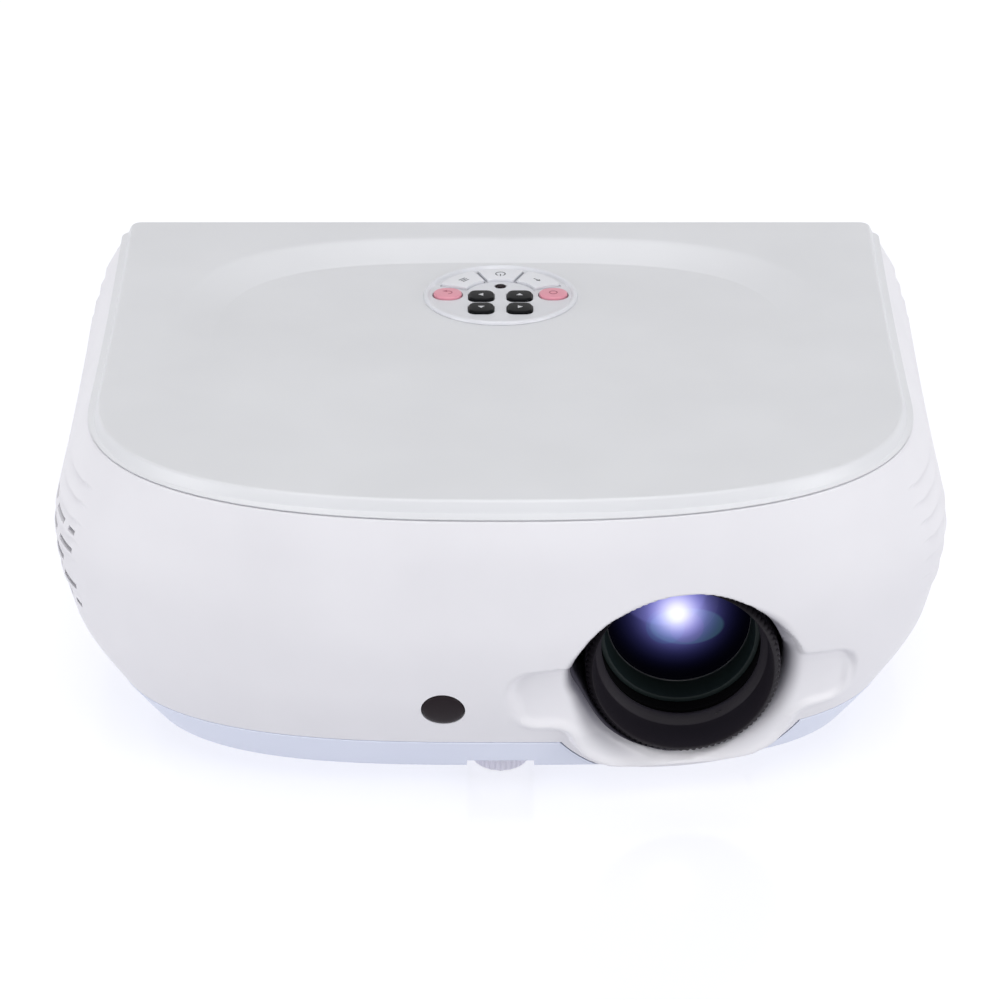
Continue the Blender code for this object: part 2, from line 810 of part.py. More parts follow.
def apron_cutter():
    """What lies below the seam, with a round bite that leaves the apron under the lens."""
    reach = BODY_WIDTH
    drop = LENS_Z - BOTTOM_SEAM_Z
    start = math.asin(drop / APRON_RADIUS)
    steps = 16
    arc = []
    for step in range(steps + 1):
        turn = -start - (math.pi - 2 * start) * step / steps
        across = LENS_X + APRON_RADIUS * math.cos(turn)
        arc.append((across, LENS_Z + APRON_RADIUS * math.sin(turn)))
    outline = [(-reach, -reach), (reach, -reach), (reach, BOTTOM_SEAM_Z), *arc]
    outline.append((-reach, BOTTOM_SEAM_Z))
    cutter = flat_piece("below the seam in front", [outline], BODY_DEPTH / 2, helper=True)
    return upright(cutter, FRONT_Y - OVERRUN + BODY_DEPTH / 4)


def rear_cutter():
    low = (-BODY_WIDTH, FRONT_Y - OVERRUN + BODY_DEPTH / 2 - OVERRUN, -OVERRUN)
    return box("below the seam behind", low, (BODY_WIDTH, BODY_DEPTH, BOTTOM_SEAM_Z), helper=True)


def bore_tube():
    start = (LENS_X, FRONT_Y, LENS_Z)
    radius = BORE_RADIUS + BORE_TUBE_WALL
    return cylinder("bore tube", start, BORE_TUBE_END, radius, "Y", helper=True)


def apron_shelf():
    """The level floor that closes the apron from below."""
    half = math.sqrt(APRON_RADIUS**2 - (LENS_Z - FLOOR_Z) ** 2) - WALL
    low = (LENS_X - half, FRONT_Y, FOOT_HEIGHT + SEAM)
    return box("apron shelf", low, (LENS_X + half, FRONT_Y + APRON_DEPTH, FLOOR_Z), helper=True)


def lens_bore():
    shape = bmesh.new()
    start = (LENS_X, FRONT_Y - OVERRUN, LENS_Z)
    length = APRON_DEPTH + 2 * OVERRUN
    wide = BORE_RADIUS + BORE_FLARE
    add_cylinder(shape, start, length, wide, "Y", steps=36, end_radius=BORE_RADIUS - BORE_FLARE / 2)
    return object_from("lens bore", shape, helper=True)


def slot_cutters():
    """One box a slot, turned to follow the side of the case."""
    shape = bmesh.new()
    rows = range(SLOT_FIRST_ROW, SLOT_FIRST_ROW + SLOT_ROWS)
    for side, start, count in ((-1, SLOT_START, EXHAUST_SLOTS), (1, INTAKE_START, INTAKE_SLOTS)):
        for row in rows:
            z = BODY_HEIGHT - LOUVRE_TOP_DROP - LOUVRE_PITCH * (row + 0.5)
            for index in range(count):
                y = FRONT_Y + start + SLOT_PITCH * index
                ahead, behind = y - SLOT_LENGTH / 2, y + SLOT_LENGTH / 2
                turn = math.atan2(side_x(behind, z) - side_x(ahead, z), SLOT_LENGTH)
                place = Matrix.Translation((side * side_x(y, z), y, z))
                place = place @ Matrix.Rotation(-side * turn, 4, "Z")
                size = Matrix.Diagonal((2 * OVERRUN, SLOT_LENGTH, SLOT_HEIGHT, 1.0))
                bmesh.ops.create_cube(shape, size=1.0, matrix=place @ size)
    return object_from("vent slots", shape, helper=True)


def window_outline(margin=0.0):
    middle = (0.0, (WINDOW_BOTTOM + WINDOW_TOP) / 2)
    width = WINDOW_WIDTH + 2 * margin
    height = WINDOW_TOP - WINDOW_BOTTOM + 2 * margin
    return rounded_rectangle(middle, width, height, WINDOW_ROUND)


def window_cutter():
    cutter = flat_piece("rear window", [window_outline()], 2 * OVERRUN, helper=True)
    return upright(cutter, BACK_Y)


def post_places():
    return [(side * POST_X, y) for side in (-1, 1) for y in (POST_FRONT_Y, POST_BACK_Y)]


def housing_posts():
    """Four screw posts, each with a web out to the wall."""
    shape = bmesh.new()
    for x, y in post_places():
        add_cylinder(shape, (x, y, BOTTOM_SEAM_Z), POST_TOP - BOTTOM_SEAM_Z, POST_RADIUS, steps=12)
    posts = object_from("screw posts", shape, helper=True)
    for x, y in post_places():
        side = math.copysign(1, x)
        low = (min(x, side * HALF_WIDTH), y - WEB_THICKNESS / 2, BOTTOM_SEAM_Z + SEAM)
        high = (max(x, side * HALF_WIDTH), y + WEB_THICKNESS / 2, POST_TOP - SEAM)
        add(posts, box(f"post web {x:.2f} {y:.2f}", low, high, helper=True))
    return keep(posts, solid_case("case for posts", FOOT_HEIGHT, BODY_HEIGHT, WALL / 2))


def post_bores():
    shape = bmesh.new()
    for x, y in post_places():
        start = (x, y, BOTTOM_SEAM_Z - OVERRUN)
        add_cylinder(shape, start, SCREW_LENGTH + OVERRUN, SCREW_RADIUS + SEAM, steps=8)
    return object_from("post bores", shape, helper=True)


def ir_frame():
    """The place and tilt of the infrared window: local Z points out of the case."""
    rise = IR_RADIUS / 2
    lean = (front_y(IR_X, IR_Z + rise) - front_y(IR_X, IR_Z - rise)) / (2 * rise)
    swing = (front_y(IR_X + rise, IR_Z) - front_y(IR_X - rise, IR_Z)) / (2 * rise)
    outward = Vector((swing, -1.0, lean)).normalized()
    turn = outward.to_track_quat("Z", "Y").to_matrix().to_4x4()
    return Matrix.Translation((IR_X, front_y(IR_X, IR_Z), IR_Z)) @ turn


def ir_cylinder(name, out, inward, radius, steps=18):
    """A helper cylinder on the window's axis, from out in front of the surface to inward of it."""
    shape = bmesh.new()
    add_cylinder(shape, (0, 0, -inward), inward + out, radius, steps=steps)
    bmesh.ops.transform(shape, matrix=ir_frame(), verts=shape.verts)
    return object_from(name, shape, helper=True)


def make_main_housing(look):
    housing = housing_walls()
    block = surround_prism("surround block", SURROUND_WALL)
    keep(block, solid_case("case for surround", FOOT_HEIGHT + SEAM, BODY_HEIGHT, WALL / 2))
    proud = surround_prism("surround face")
    keep(proud, surround_floor("surround floor", SURROUND_SINK))
    hollow = surround_floor("surround back", SURROUND_SINK + WALL)
    sunk = surround_prism("surround recess")
    cut(sunk, surround_floor("surround recess floor", SURROUND_SINK))
    deep = solid_case("case behind surround", 0.0, BODY_HEIGHT, SURROUND_DEPTH)
    cut(block, deep)
    cut(proud, hollow)
    tube = bore_tube()
    keep(tube, solid_case("case for tube", FOOT_HEIGHT + SEAM, BODY_HEIGHT, SURROUND_DEPTH / 2))
    shelf = apron_shelf()
    keep(shelf, solid_case("case for shelf", FOOT_HEIGHT, BODY_HEIGHT, WALL / 2))
    boss = ir_cylinder("window boss", -WALL / 2, IR_BOSS_DEPTH, IR_BOSS_RADIUS)
    add(housing, block, proud, tube, shelf, boss, housing_posts(), solver="MANIFOLD")
    cutters = [sunk, lens_bore(), apron_cutter(), rear_cutter(), window_cutter()]
    cutters += [slot_cutters(), post_bores()]
    depth = IR_BOSS_DEPTH + OVERRUN
    cutters.append(ir_cylinder("window hole", OVERRUN, depth, IR_RADIUS + SEAM))
    flange_radius = IR_RADIUS + IR_FLANGE + SEAM
    cutters.append(ir_cylinder("flange recess", SEAM - IR_LENGTH, depth, flange_radius))
    cut(housing, *cutters, solver="MANIFOLD")
    return finish(housing, look)


# Bottom cover
def add_floor_posts(shape, places, top, radius, steps=8):
    start = FOOT_HEIGHT + WALL / 2
    for x, y in places:
        add_cylinder(shape, (x, y, start), top - start, radius, steps=steps)


def corner_places(left, right, front, back, inset):
    return [(x, y) for x in (left + inset, right - inset) for y in (front + inset, back - inset)]


def make_bottom_cover(look):
    low = FOOT_HEIGHT
    top = BOTTOM_SEAM_Z - SEAM
    outer = [section(low, UNDERSIDE_ROUND), section(low + UNDERSIDE_ROUND)]
    outer += [section((low + top) / 2), section(top)]
    inner = [section(top, WALL), section(FLOOR_Z, WALL + UNDERSIDE_ROUND)]
    cover = loft("bottom_cover", outer + inner)
    shape = bmesh.new()
    add_floor_posts(shape, post_places(), top, POST_RADIUS, 12)
    box_places = corner_places(BOX_LEFT, BOX_RIGHT, BOX_FRONT_Y, BOX_BACK_Y, 2 * STANDOFF_INSET)
    add_floor_posts(shape, box_places, BOX_BOTTOM_Z - SEAM, STANDOFF_RADIUS)
    power_places = corner_places(POWER_LEFT, POWER_RIGHT, POWER_FRONT, POWER_BACK, STANDOFF_INSET)
    add_floor_posts(shape, power_places, POWER_BOARD_Z - SEAM, STANDOFF_RADIUS)
    for x in (EXHAUST_FAN_X, INTAKE_FAN_X):
        for share in FAN_RIB_SHARES:
            middle = OPTIC_Y + share * FAN_SIZE
            corner = (x - FAN_THICKNESS / 2, middle - RIB_WIDTH / 2, FOOT_HEIGHT + WALL / 2)
            end = (x + FAN_THICKNESS / 2, middle + RIB_WIDTH / 2, FAN_BOTTOM - SEAM)
            add_box(shape, corner, end)
    for share in FAN_RIB_SHARES:
        middle = OPTIC_Y + share * SINK_WIDTH
        corner = (SINK_FACE_X - SINK_BASE, middle - RIB_WIDTH / 2, FOOT_HEIGHT + WALL / 2)
        add_box(shape, corner, (SINK_FACE_X, middle + RIB_WIDTH / 2, SINK_BOTTOM - SEAM))
    add(cover, object_from("floor bosses", shape, helper=True))
    add(cover, *foot_housing())
    cut(cover, foot_recess(), foot_bore(), screw_recesses(), lens_notch(), floor_vents())
    return finish(cover, look)


def foot_housing():
    reach = NOTCH_HALF_WIDTH + NOTCH_ROOF
    floor_middle = FOOT_HEIGHT + WALL / 2
    roof_top = FOOT_HEIGHT + NOTCH_HEIGHT + NOTCH_ROOF
    low = (-reach, FRONT_Y, floor_middle)
    roof = box("notch roof", low, (reach, TILT_Y + reach, roof_top), helper=True)
    keep(roof, solid_case("case for notch", FOOT_HEIGHT, BODY_HEIGHT, WALL / 2))
    start = (0, TILT_Y, roof_top - NOTCH_ROOF / 2)
    length = FOOT_BOSS_TOP - start[2]
    boss = cylinder("foot boss", start, length, FOOT_BOSS_RADIUS, steps=24, helper=True)
    return roof, boss


def foot_recess():
    """The notch in the front lower edge, where a finger reaches the foot's knob."""
    top = FOOT_HEIGHT + NOTCH_HEIGHT
    low = (-NOTCH_HALF_WIDTH, FRONT_Y - OVERRUN, FOOT_HEIGHT - OVERRUN)
    return box("foot notch", low, (NOTCH_HALF_WIDTH, TILT_Y + NOTCH_HALF_WIDTH, top), helper=True)


def insert_radius():
    return TILT_SCREW_RADIUS + SEAM + INSERT_WALL


def foot_bore():
    start = (0, TILT_Y, FOOT_HEIGHT)
    radius = insert_radius() + SEAM
    return cylinder("foot bore", start, BODY_HEIGHT / 2, radius, steps=16, helper=True)


def screw_recesses():
    low = FOOT_HEIGHT - OVERRUN
    shape = bmesh.new()
    for x, y in post_places():
        add_cylinder(shape, (x, y, low), OVERRUN + SCREW_RECESS, SCREW_HEAD_RADIUS + SEAM, steps=12)
    recesses = object_from("screw recesses", shape, helper=True)
    shape = bmesh.new()
    for x, y in post_places():
        add_cylinder(shape, (x, y, low), BOTTOM_SEAM_Z, SCREW_RADIUS + SEAM, steps=8)
    return add(recesses, object_from("screw holes", shape, helper=True))


def lens_notch():
    start = (LENS_X, FRONT_Y - OVERRUN, LENS_Z)
    length = OVERRUN + APRON_DEPTH + SEAM
    return cylinder("lens notch", start, length, APRON_RADIUS + SEAM, "Y", steps=36, helper=True)


def floor_vents():
    """Air slots in the floor under the light engine."""
    shape = bmesh.new()
    for index in range(FLOOR_VENTS):
        y = OPTIC_Y + (index - (FLOOR_VENTS - 1) / 2) * SLOT_PITCH / 2
        low = (BOX_LEFT + SLOT_LENGTH, y - SLOT_HEIGHT / 2, FOOT_HEIGHT - OVERRUN)
        high = (LENS_X, y + SLOT_HEIGHT / 2, FLOOR_Z + SEAM)
        add_box(shape, low, high)
    return object_from("floor vents", shape, helper=True)


# Top cover
def dish_drop(x, y):
    """How far the dished top lies below its rim."""
    run = (y - (FRONT_Y + DISH_FRONT)) / DISH_RUN
    if run <= 0:
        return 0.0
    ease = DISH_EASE_SHARE
    ramp = run * run / (2 * ease) if run < ease else run - ease / 2
    drop = DISH_DEPTH * ramp / (1 - ease / 2)
    inside = (1 - dish_reach(x, y)) * DISH_HALF_WIDTH / DISH_BAND
    wall = min(max(inside, 0.0), 1.0)
    return drop * wall * wall * (3 - 2 * wall)


def dish_reach(x, y):
    """0 at the middle of the dish and 1 on its outer edge."""
    across = abs(x) / DISH_HALF_WIDTH
    back = max(y - DISH_CENTRE_Y, 0.0) / (DISH_CENTRE - DISH_REAR_MARGIN)
    return (across**DISH_POWER + back**DISH_POWER) ** (1 / DISH_POWER)


def top_ring(into_band, toward_middle, lowered):
    """A ring of the top, sunk by the dish: into_band runs from the dish's edge to its floor."""
    ring = []
    level = 1 - into_band * DISH_BAND / DISH_HALF_WIDTH
    for x, y, _ in section(BODY_HEIGHT, EDGE_ROUND):
        from_middle = y - DISH_CENTRE_Y
        edge = 1 / max(dish_reach(x, y), 1 - RIM_SHARE)
        share = level * toward_middle * min(edge, RIM_SHARE)
        px, py = x * share, DISH_CENTRE_Y + from_middle * share
        ring.append((px, py, BODY_HEIGHT - dish_drop(px, py) - lowered))
    return ring


def make_top_cover(look):
    low = TOP_SEAM_Z + SEAM
    edge = BODY_HEIGHT - EDGE_ROUND
    rings = [section(low), section(edge)]
    for turn in (math.radians(45), math.radians(90)):
        inset = EDGE_ROUND * (1 - math.cos(turn))
        z = edge + EDGE_ROUND * math.sin(turn)
        rings.append([(x, y, z) for x, y, _ in section(BODY_HEIGHT, inset)])
    rings += [top_ring(share, 1.0, 0.0) for share in DISH_RING_SHARES]
    rings += [top_ring(1.0, share, 0.0) for share in FLOOR_RING_SHARES]
    under = [top_ring(share, 1.0, COVER_WALL) for share in (0.0, 1.0)]
    under += [top_ring(1.0, share, COVER_WALL) for share in FLOOR_RING_SHARES[:2]]
    lip_low = TOP_SEAM_Z - LIP_DEPTH
    lip_inset = WALL + SEAM
    lip = [section(lip_low, lip_inset + LIP_WALL), section(lip_low, lip_inset)]
    lip.append([(x, y, low) for x, y, _ in section(TOP_SEAM_Z, lip_inset)])
    outer = loft("top_cover", list(reversed(under)) + top_corner() + lip + rings)
    add(outer, keypad_rib())
    cut(outer, panel_seat(), panel_hole())
    return finish(outer, look)


def top_corner():
    """The inner corner between the underside of the top and its lip."""
    inset = WALL + SEAM + LIP_WALL
    height = BODY_HEIGHT - COVER_WALL
    return [[(x, y, height) for x, y, _ in section(TOP_SEAM_Z, inset)]]


def panel_frame():
    """The keypad's frame: its origin on the dish, local Z square to it."""
    place = Matrix.Translation((0, PANEL_Y, BODY_HEIGHT - dish_drop(0.0, PANEL_Y)))
    return place @ Matrix.Rotation(PANEL_TILT, 4, "X")


def in_panel(shape):
    bmesh.ops.transform(shape, matrix=panel_frame(), verts=shape.verts)
    return shape


def keypad_levels():
    """Heights in the keypad's frame, from the plate's face down to its circuit board."""
    plate_low = PANEL_FACE_HEIGHT - PANEL_THICKNESS
    flange_top = plate_low - SEAM
    flange_low = flange_top - KEY_FLANGE_THICKNESS
    board_top = flange_low - KEY_TRAVEL - SEAM
    return plate_low, flange_top, flange_low, board_top


def keypad_rib():
    """A round rib under the top, which carries the keypad's circuit board."""
    board_top = keypad_levels()[3]
    low = board_top + SEAM
    high = -COVER_WALL / 2
    shape = bmesh.new()
    add_cylinder(shape, (0, 0, low), high - low, KEYPAD_BOARD_RADIUS, steps=PANEL_STEPS)
    rib = object_from("keypad rib", in_panel(shape), helper=True)
    shape = bmesh.new()
    length = high - low + 2 * SEAM
    add_cylinder(shape, (0, 0, low - SEAM), length, KEYPAD_RIB_INNER, steps=PANEL_STEPS)
    return cut(rib, object_from("keypad rib bore", in_panel(shape), helper=True))


def panel_seat():
    shape = bmesh.new()
    radius = PANEL_RADIUS + SEAM
    add_cylinder(shape, (0, 0, -PANEL_SINK), OVERRUN, radius, steps=PANEL_STEPS)
    return object_from("keypad seat", in_panel(shape), helper=True)


def panel_hole():
    shape = bmesh.new()
    add_cylinder(shape, (0, 0, -OVERRUN), 2 * OVERRUN, PANEL_HOLE_RADIUS, steps=PANEL_STEPS)
    return object_from("keypad hole", in_panel(shape), helper=True)


# Keypad
def arc_outline(middle, radial=0.0, gap=0.0):
    """A key shaped as part of a ring; radial widens it in and out, gap all round."""
    inner, outer = ARC_INNER - radial - gap, ARC_OUTER + radial + gap
    turns = [middle + ARC_SPAN * (step / ARC_STEPS - 0.5) for step in range(ARC_STEPS + 1)]
    far = [
        (outer * math.cos(turn), outer * math.sin(turn))
        for turn in widened(turns, gap / outer)
    ]
    near = [
        (inner * math.cos(turn), inner * math.sin(turn))
        for turn in widened(turns, gap / inner)
    ]
    return far + near[::-1]


def widened(turns, extra):
    return [turns[0] - extra, *turns[1:-1], turns[-1] + extra]


def arc_key(index):
    middle = math.radians(90) - index * (ARC_SPAN + ARC_GAP)
    return {
        "cap": arc_outline(middle),
        "hole": arc_outline(middle, gap=KEY_GAP),
        "flange": arc_outline(middle, radial=KEY_FLANGE + KEY_GAP),
    }


def oval_key(x, y, width, depth, radius, steps=2):
    """A key whose outline is a rounded rectangle."""
    wider = KEY_GAP + KEY_FLANGE
    return {
        "cap": rounded_rectangle((x, y), width, depth, radius, steps),
        "hole": grown_rectangle(x, y, width, depth, radius, KEY_GAP, steps),
        "flange": grown_rectangle(x, y, width, depth, radius, wider, steps),
    }


def grown_rectangle(x, y, width, depth, radius, margin, steps):
    wide, deep = width + 2 * margin, depth + 2 * margin
    return rounded_rectangle((x, y), wide, deep, radius + margin, steps)


def key_outlines():
    side_round = SIDE_KEY_DEPTH * SIDE_KEY_ROUND_SHARE
    keys = {"menu_key": arc_key(-1), "power_key": arc_key(0), "source_key": arc_key(1)}
    for name, side in (("back_key", -1), ("ok_key", 1)):
        keys[name] = oval_key(
            side * SIDE_KEY_X, SIDE_KEY_Y, SIDE_KEY_WIDTH, SIDE_KEY_DEPTH, side_round, 3
        )
    pads = (
        ("left_key", -1, PAD_KEY_UPPER_Y),
        ("up_key", 1, PAD_KEY_UPPER_Y),
        ("down_key", -1, PAD_KEY_LOWER_Y),
        ("right_key", 1, PAD_KEY_LOWER_Y),
    )
    for name, side, y in pads:
        keys[name] = oval_key(side * PAD_KEY_X, y, PAD_KEY_WIDTH, PAD_KEY_DEPTH, PAD_KEY_ROUND)
    return keys


def make_key(name, outlines, frame, look):
    """A cap that stands through the plate, with a flange under it."""
    flange_top = keypad_levels()[1]
    top = PANEL_FACE_HEIGHT + KEY_RISE
    overlap = KEY_FLANGE_THICKNESS / 2
    cap = flat_piece(name, [outlines["cap"]], top - flange_top + overlap)
    at_height(cap, (top + flange_top - overlap) / 2)
    flange = flat_piece(name + " flange", [outlines["flange"]], KEY_FLANGE_THICKNESS, helper=True)
    at_height(flange, flange_top - KEY_FLANGE_THICKNESS / 2)
    for piece in (cap, flange):
        piece.parent = frame
    add(cap, flange)
    return finish(cap, look)


def make_keypad(looks):
    frame = bpy.data.objects.new("keypad frame", None)
    PARTS.objects.link(frame)
    frame.matrix_world = panel_frame()
    plate_low, _, _, board_top = keypad_levels()
    rim_low = SEAM - PANEL_SINK
    rim_top = PANEL_FACE_HEIGHT + PANEL_RIM_HEIGHT
    hole_radius = PANEL_HOLE_RADIUS - SEAM
    profile = [
        (0.0, PANEL_FACE_HEIGHT),
        (PANEL_FACE_RADIUS, PANEL_FACE_HEIGHT),
        (PANEL_FACE_RADIUS + PANEL_RIM_HEIGHT / 2, rim_top),
        (PANEL_RADIUS - PANEL_RIM_HEIGHT / 2, rim_top),
        (PANEL_RADIUS, rim_low),
        (hole_radius, rim_low),
        (hole_radius, plate_low),
        (0.0, plate_low),
    ]
    plate = turned("keypad_plate", profile, PANEL_STEPS)
    plate.parent = frame
    keys = key_outlines()
    holes = [outlines["hole"] for outlines in keys.values()]
    for index, hole in enumerate(holes):
        cutter = flat_piece(f"key hole {index}", [hole], 2 * OVERRUN, helper=True)
        cutter.parent = frame
        cut(plate, cutter)
    lamp_hole = cylinder(
        "lamp hole", (0, LAMP_Y, -OVERRUN), 2 * OVERRUN, LAMP_RADIUS + KEY_GAP, steps=12, helper=True
    )
    lamp_hole.parent = frame
    cut(plate, lamp_hole)
    finish(plate, looks["white"])
    colours = {"back_key": "pink", "ok_key": "pink"}
    for name, outlines in keys.items():
        black = name in ("left_key", "right_key", "up_key", "down_key")
        make_key(name, outlines, frame, looks["black" if black else colours.get(name, "white")])
    make_lamp(frame, looks["black"])
    board = cylinder(
        "keypad_board",
        (0, 0, board_top - KEYPAD_BOARD_THICKNESS),
        KEYPAD_BOARD_THICKNESS,
        KEYPAD_BOARD_RADIUS,
        steps=PANEL_STEPS,
    )
    board.parent = frame
    finish(board, looks["board"])


def make_lamp(frame, look):
    flange_top = keypad_levels()[1]
    flange_low = flange_top - KEY_FLANGE_THICKNESS
    top = PANEL_FACE_HEIGHT + KEY_RISE / 2
    wide = LAMP_RADIUS + KEY_GAP + KEY_FLANGE
    profile = [
        (0.0, top),
        (LAMP_RADIUS, top - KEY_RISE / 4),
        (LAMP_RADIUS, flange_top),
        (wide, flange_top),
        (wide, flange_low),
        (0.0, flange_low),
    ]
    lamp = turned("status_lamp", profile, 10)
    lamp.location = (0, LAMP_Y, 0)
    lamp.parent = frame
    return finish(lamp, look)


# Infrared window and its receiver
def make_ir_window(look):
    flange_radius = IR_RADIUS + IR_FLANGE
    back = -IR_LENGTH - IR_FLANGE_THICKNESS
    profile = [
        (0.0, 0.0),
        (IR_RADIUS, 0.0),
        (IR_RADIUS, -IR_LENGTH),
        (flange_radius, -IR_LENGTH),
        (flange_radius, back),
        (0.0, back),
    ]
    window = turned("ir_window", profile, 18)
    window.matrix_world = ir_frame()
    return finish(window, look)


def make_ir_board(look):
    outline = rounded_rectangle((0, 0), IR_BOARD_WIDTH, IR_BOARD_HEIGHT, IR_FLANGE, 2)
    board = flat_piece("ir_board", [outline], BOARD_THICKNESS)
    at_height(board, -IR_BOSS_DEPTH - SEAM - BOARD_THICKNESS / 2)
    board.matrix_world = ir_frame()
    return finish(board, look)


# Lens group, about the lens axis
def lens_frame():
    frame = bpy.data.objects.new("lens frame", None)
    PARTS.objects.link(frame)
    place = Matrix.Translation((LENS_X, RING_FRONT_Y, LENS_Z))
    frame.matrix_world = place @ Matrix.Rotation(math.radians(90), 4, "X")
    return frame


def glass_profile(radius, edge, front_bulge, back_bulge, front, steps=3):
    """A lens profile from its front apex round to its back apex; local Z points to the front."""
    points = []
    for step in range(steps + 1):
        share = step / steps
        points.append((radius * share, front - front_bulge * share * share))
    rim = front - front_bulge - edge
    for step in range(steps + 1):
        share = 1 - step / steps
        points.append((radius * share, rim - back_bulge * (1 - share * share)))
    return points


def make_focus_ring(frame, look):
    """A knurled ring with a tapered nose; its mouth narrows to a lip in front of the barrel."""
    ring = flat_piece("focus_ring", [toothed(RING_RADIUS, KNURL_DEPTH, KNURL_COUNT)], RING_LENGTH)
    at_height(ring, -RING_LENGTH / 2)
    shape = bmesh.new()
    wide = RING_RADIUS - KNURL_DEPTH
    steps = 2 * KNURL_COUNT
    add_cylinder(
        shape, (0, 0, -SEAM), RING_NOSE + SEAM, wide, steps=steps, end_radius=RING_NOSE_RADIUS
    )
    nose = object_from("ring nose", shape, helper=True)
    lip_front = -RING_FUNNEL_DEPTH - RING_STEP_DEPTH
    seat_radius = BARREL_RADIUS + SEAM
    hollow_profile = [
        (0.0, RING_NOSE + OVERRUN),
        (RING_MOUTH_RADIUS, RING_NOSE + OVERRUN),
        (RING_MOUTH_RADIUS, RING_NOSE),
        (RING_THROAT_RADIUS, -RING_FUNNEL_DEPTH),
        (RING_LIP_RADIUS, lip_front),
        (RING_LIP_RADIUS, lip_front - RING_LIP),
        (seat_radius, lip_front - RING_LIP),
        (seat_radius, -RING_LENGTH - OVERRUN),
        (0.0, -RING_LENGTH - OVERRUN),
    ]
    hollow = turned("ring hollow", hollow_profile, helper=True)
    for piece in (ring, nose, hollow):
        piece.parent = frame
    cut(add(ring, nose), hollow)
    return finish(ring, look)


def make_lens_group(looks):
    frame = lens_frame()
    barrel_front = -BARREL_SETBACK
    barrel_back = barrel_front - BARREL_LENGTH
    lens_radius = BARREL_FRONT_BORE - SEAM
    rim_front = -FRONT_LENS_DEPTH
    rim_back = rim_front - FRONT_LENS_EDGE
    rise_at_step = FRONT_LENS_BACK_BULGE * (1 - (BARREL_REAR_BORE / lens_radius) ** 2)
    step_z = rim_back - rise_at_step - SEAM
    barrel_profile = [
        (BARREL_RADIUS, barrel_front),
        (BARREL_RADIUS, barrel_back),
        (BARREL_REAR_BORE, barrel_back),
        (BARREL_REAR_BORE, step_z),
        (BARREL_FRONT_BORE, step_z),
        (BARREL_FRONT_BORE, barrel_front),
    ]
    barrel = turned("lens_barrel", barrel_profile)
    front_profile = glass_profile(
        lens_radius,
        FRONT_LENS_EDGE,
        FRONT_LENS_BULGE,
        FRONT_LENS_BACK_BULGE,
        rim_front + FRONT_LENS_BULGE,
    )
    front_lens = turned("front_lens", front_profile)
    rise_at_bore = FRONT_LENS_BULGE * (1 - (RETAINER_BORE / lens_radius) ** 2)
    retainer_profile = [
        (lens_radius, barrel_front),
        (lens_radius, rim_front + SEAM),
        (RETAINER_BORE, rim_front + rise_at_bore + SEAM),
        (RETAINER_MOUTH, barrel_front),
    ]
    retainer = turned("front_retainer", retainer_profile)
    rear_radius = BARREL_REAR_BORE - SEAM
    rear_front = barrel_back + REAR_LENS_INSET + 2 * REAR_LENS_BULGE
    rear_profile = glass_profile(
        rear_radius, REAR_LENS_EDGE, REAR_LENS_BULGE, REAR_LENS_BULGE, rear_front
    )
    rear_lens = turned("rear_lens", rear_profile)
    make_focus_ring(frame, looks["black"])
    for piece in (barrel, front_lens, retainer, rear_lens):
        piece.parent = frame
    finish(barrel, looks["black"])
    finish(retainer, looks["black"])
    finish(front_lens, looks["glass"])
    finish(rear_lens, looks["glass"])


def make_lens_mount(look):
    """The tube on the light engine's front wall that guides the barrel."""
    back = BOX_FRONT_Y - SEAM
    bore = BARREL_RADIUS + SEAM
    outer = bore + MOUNT_WALL
    half = BOX_HEIGHT / 2
    flange = flat_piece(
        "lens_mount", [rounded_rectangle((LENS_X, LENS_Z), 2 * half, 2 * half, RIB_WIDTH)], MOUNT_FLANGE
    )
    upright(flange, back - MOUNT_FLANGE / 2)
    start = (LENS_X, back - MOUNT_LENGTH, LENS_Z)
    tube = cylinder("mount tube", start, MOUNT_LENGTH - MOUNT_FLANGE / 2, outer, "Y", helper=True)
    start = (LENS_X, back - MOUNT_LENGTH - OVERRUN, LENS_Z)
    hole = cylinder("mount bore", start, MOUNT_LENGTH + 2 * OVERRUN, bore, "Y", helper=True)
    add(flange, tube)
    cut(flange, hole)
    return finish(flange, look)


# Light engine
def make_optical_box(look):
    low = (BOX_LEFT, BOX_FRONT_Y, BOX_BOTTOM_Z)
    shell = box("optical_box", low, (BOX_RIGHT, BOX_BACK_Y, BOX_TOP_Z))
    shape = bmesh.new()
    for x, y in board_standoffs():
        start = (x, y, BOX_TOP_Z - BOX_WALL / 2)
        add_cylinder(shape, start, STANDOFF_HEIGHT + BOX_WALL / 2, STANDOFF_RADIUS, steps=8)
    add(shell, object_from("board standoffs", shape, helper=True))
    low = (BOX_LEFT - OVERRUN, BOX_FRONT_Y + BOX_WALL, BOX_BOTTOM_Z + BOX_WALL)
    high = (BOX_RIGHT - BOX_WALL, BOX_BACK_Y - BOX_WALL, BOX_TOP_Z - BOX_WALL)
    hollow = box("light path", low, high, helper=True)
    start = (LENS_X, BOX_FRONT_Y - OVERRUN, LENS_Z)
    port = cylinder("lens port", start, 2 * OVERRUN, BARREL_RADIUS, "Y", helper=True)
    cut(shell, hollow, port)
    return finish(shell, look)


def board_standoffs():
    left = BOX_LEFT + 2 * STANDOFF_INSET
    back = BOX_BACK_Y - STANDOFF_INSET
    return corner_places(left, BOX_RIGHT, BOARD_FRONT, back, STANDOFF_INSET)


def inner_plate(name, left, thickness, look):
    """A flat plate across the light path, standing on the light engine's floor."""
    margin = BOX_WALL + SEAM
    low = (left, BOX_FRONT_Y + margin, BOX_BOTTOM_Z + margin)
    plate = box(name, low, (left + thickness, BOX_BACK_Y - margin, BOX_TOP_Z - margin))
    return finish(plate, look)


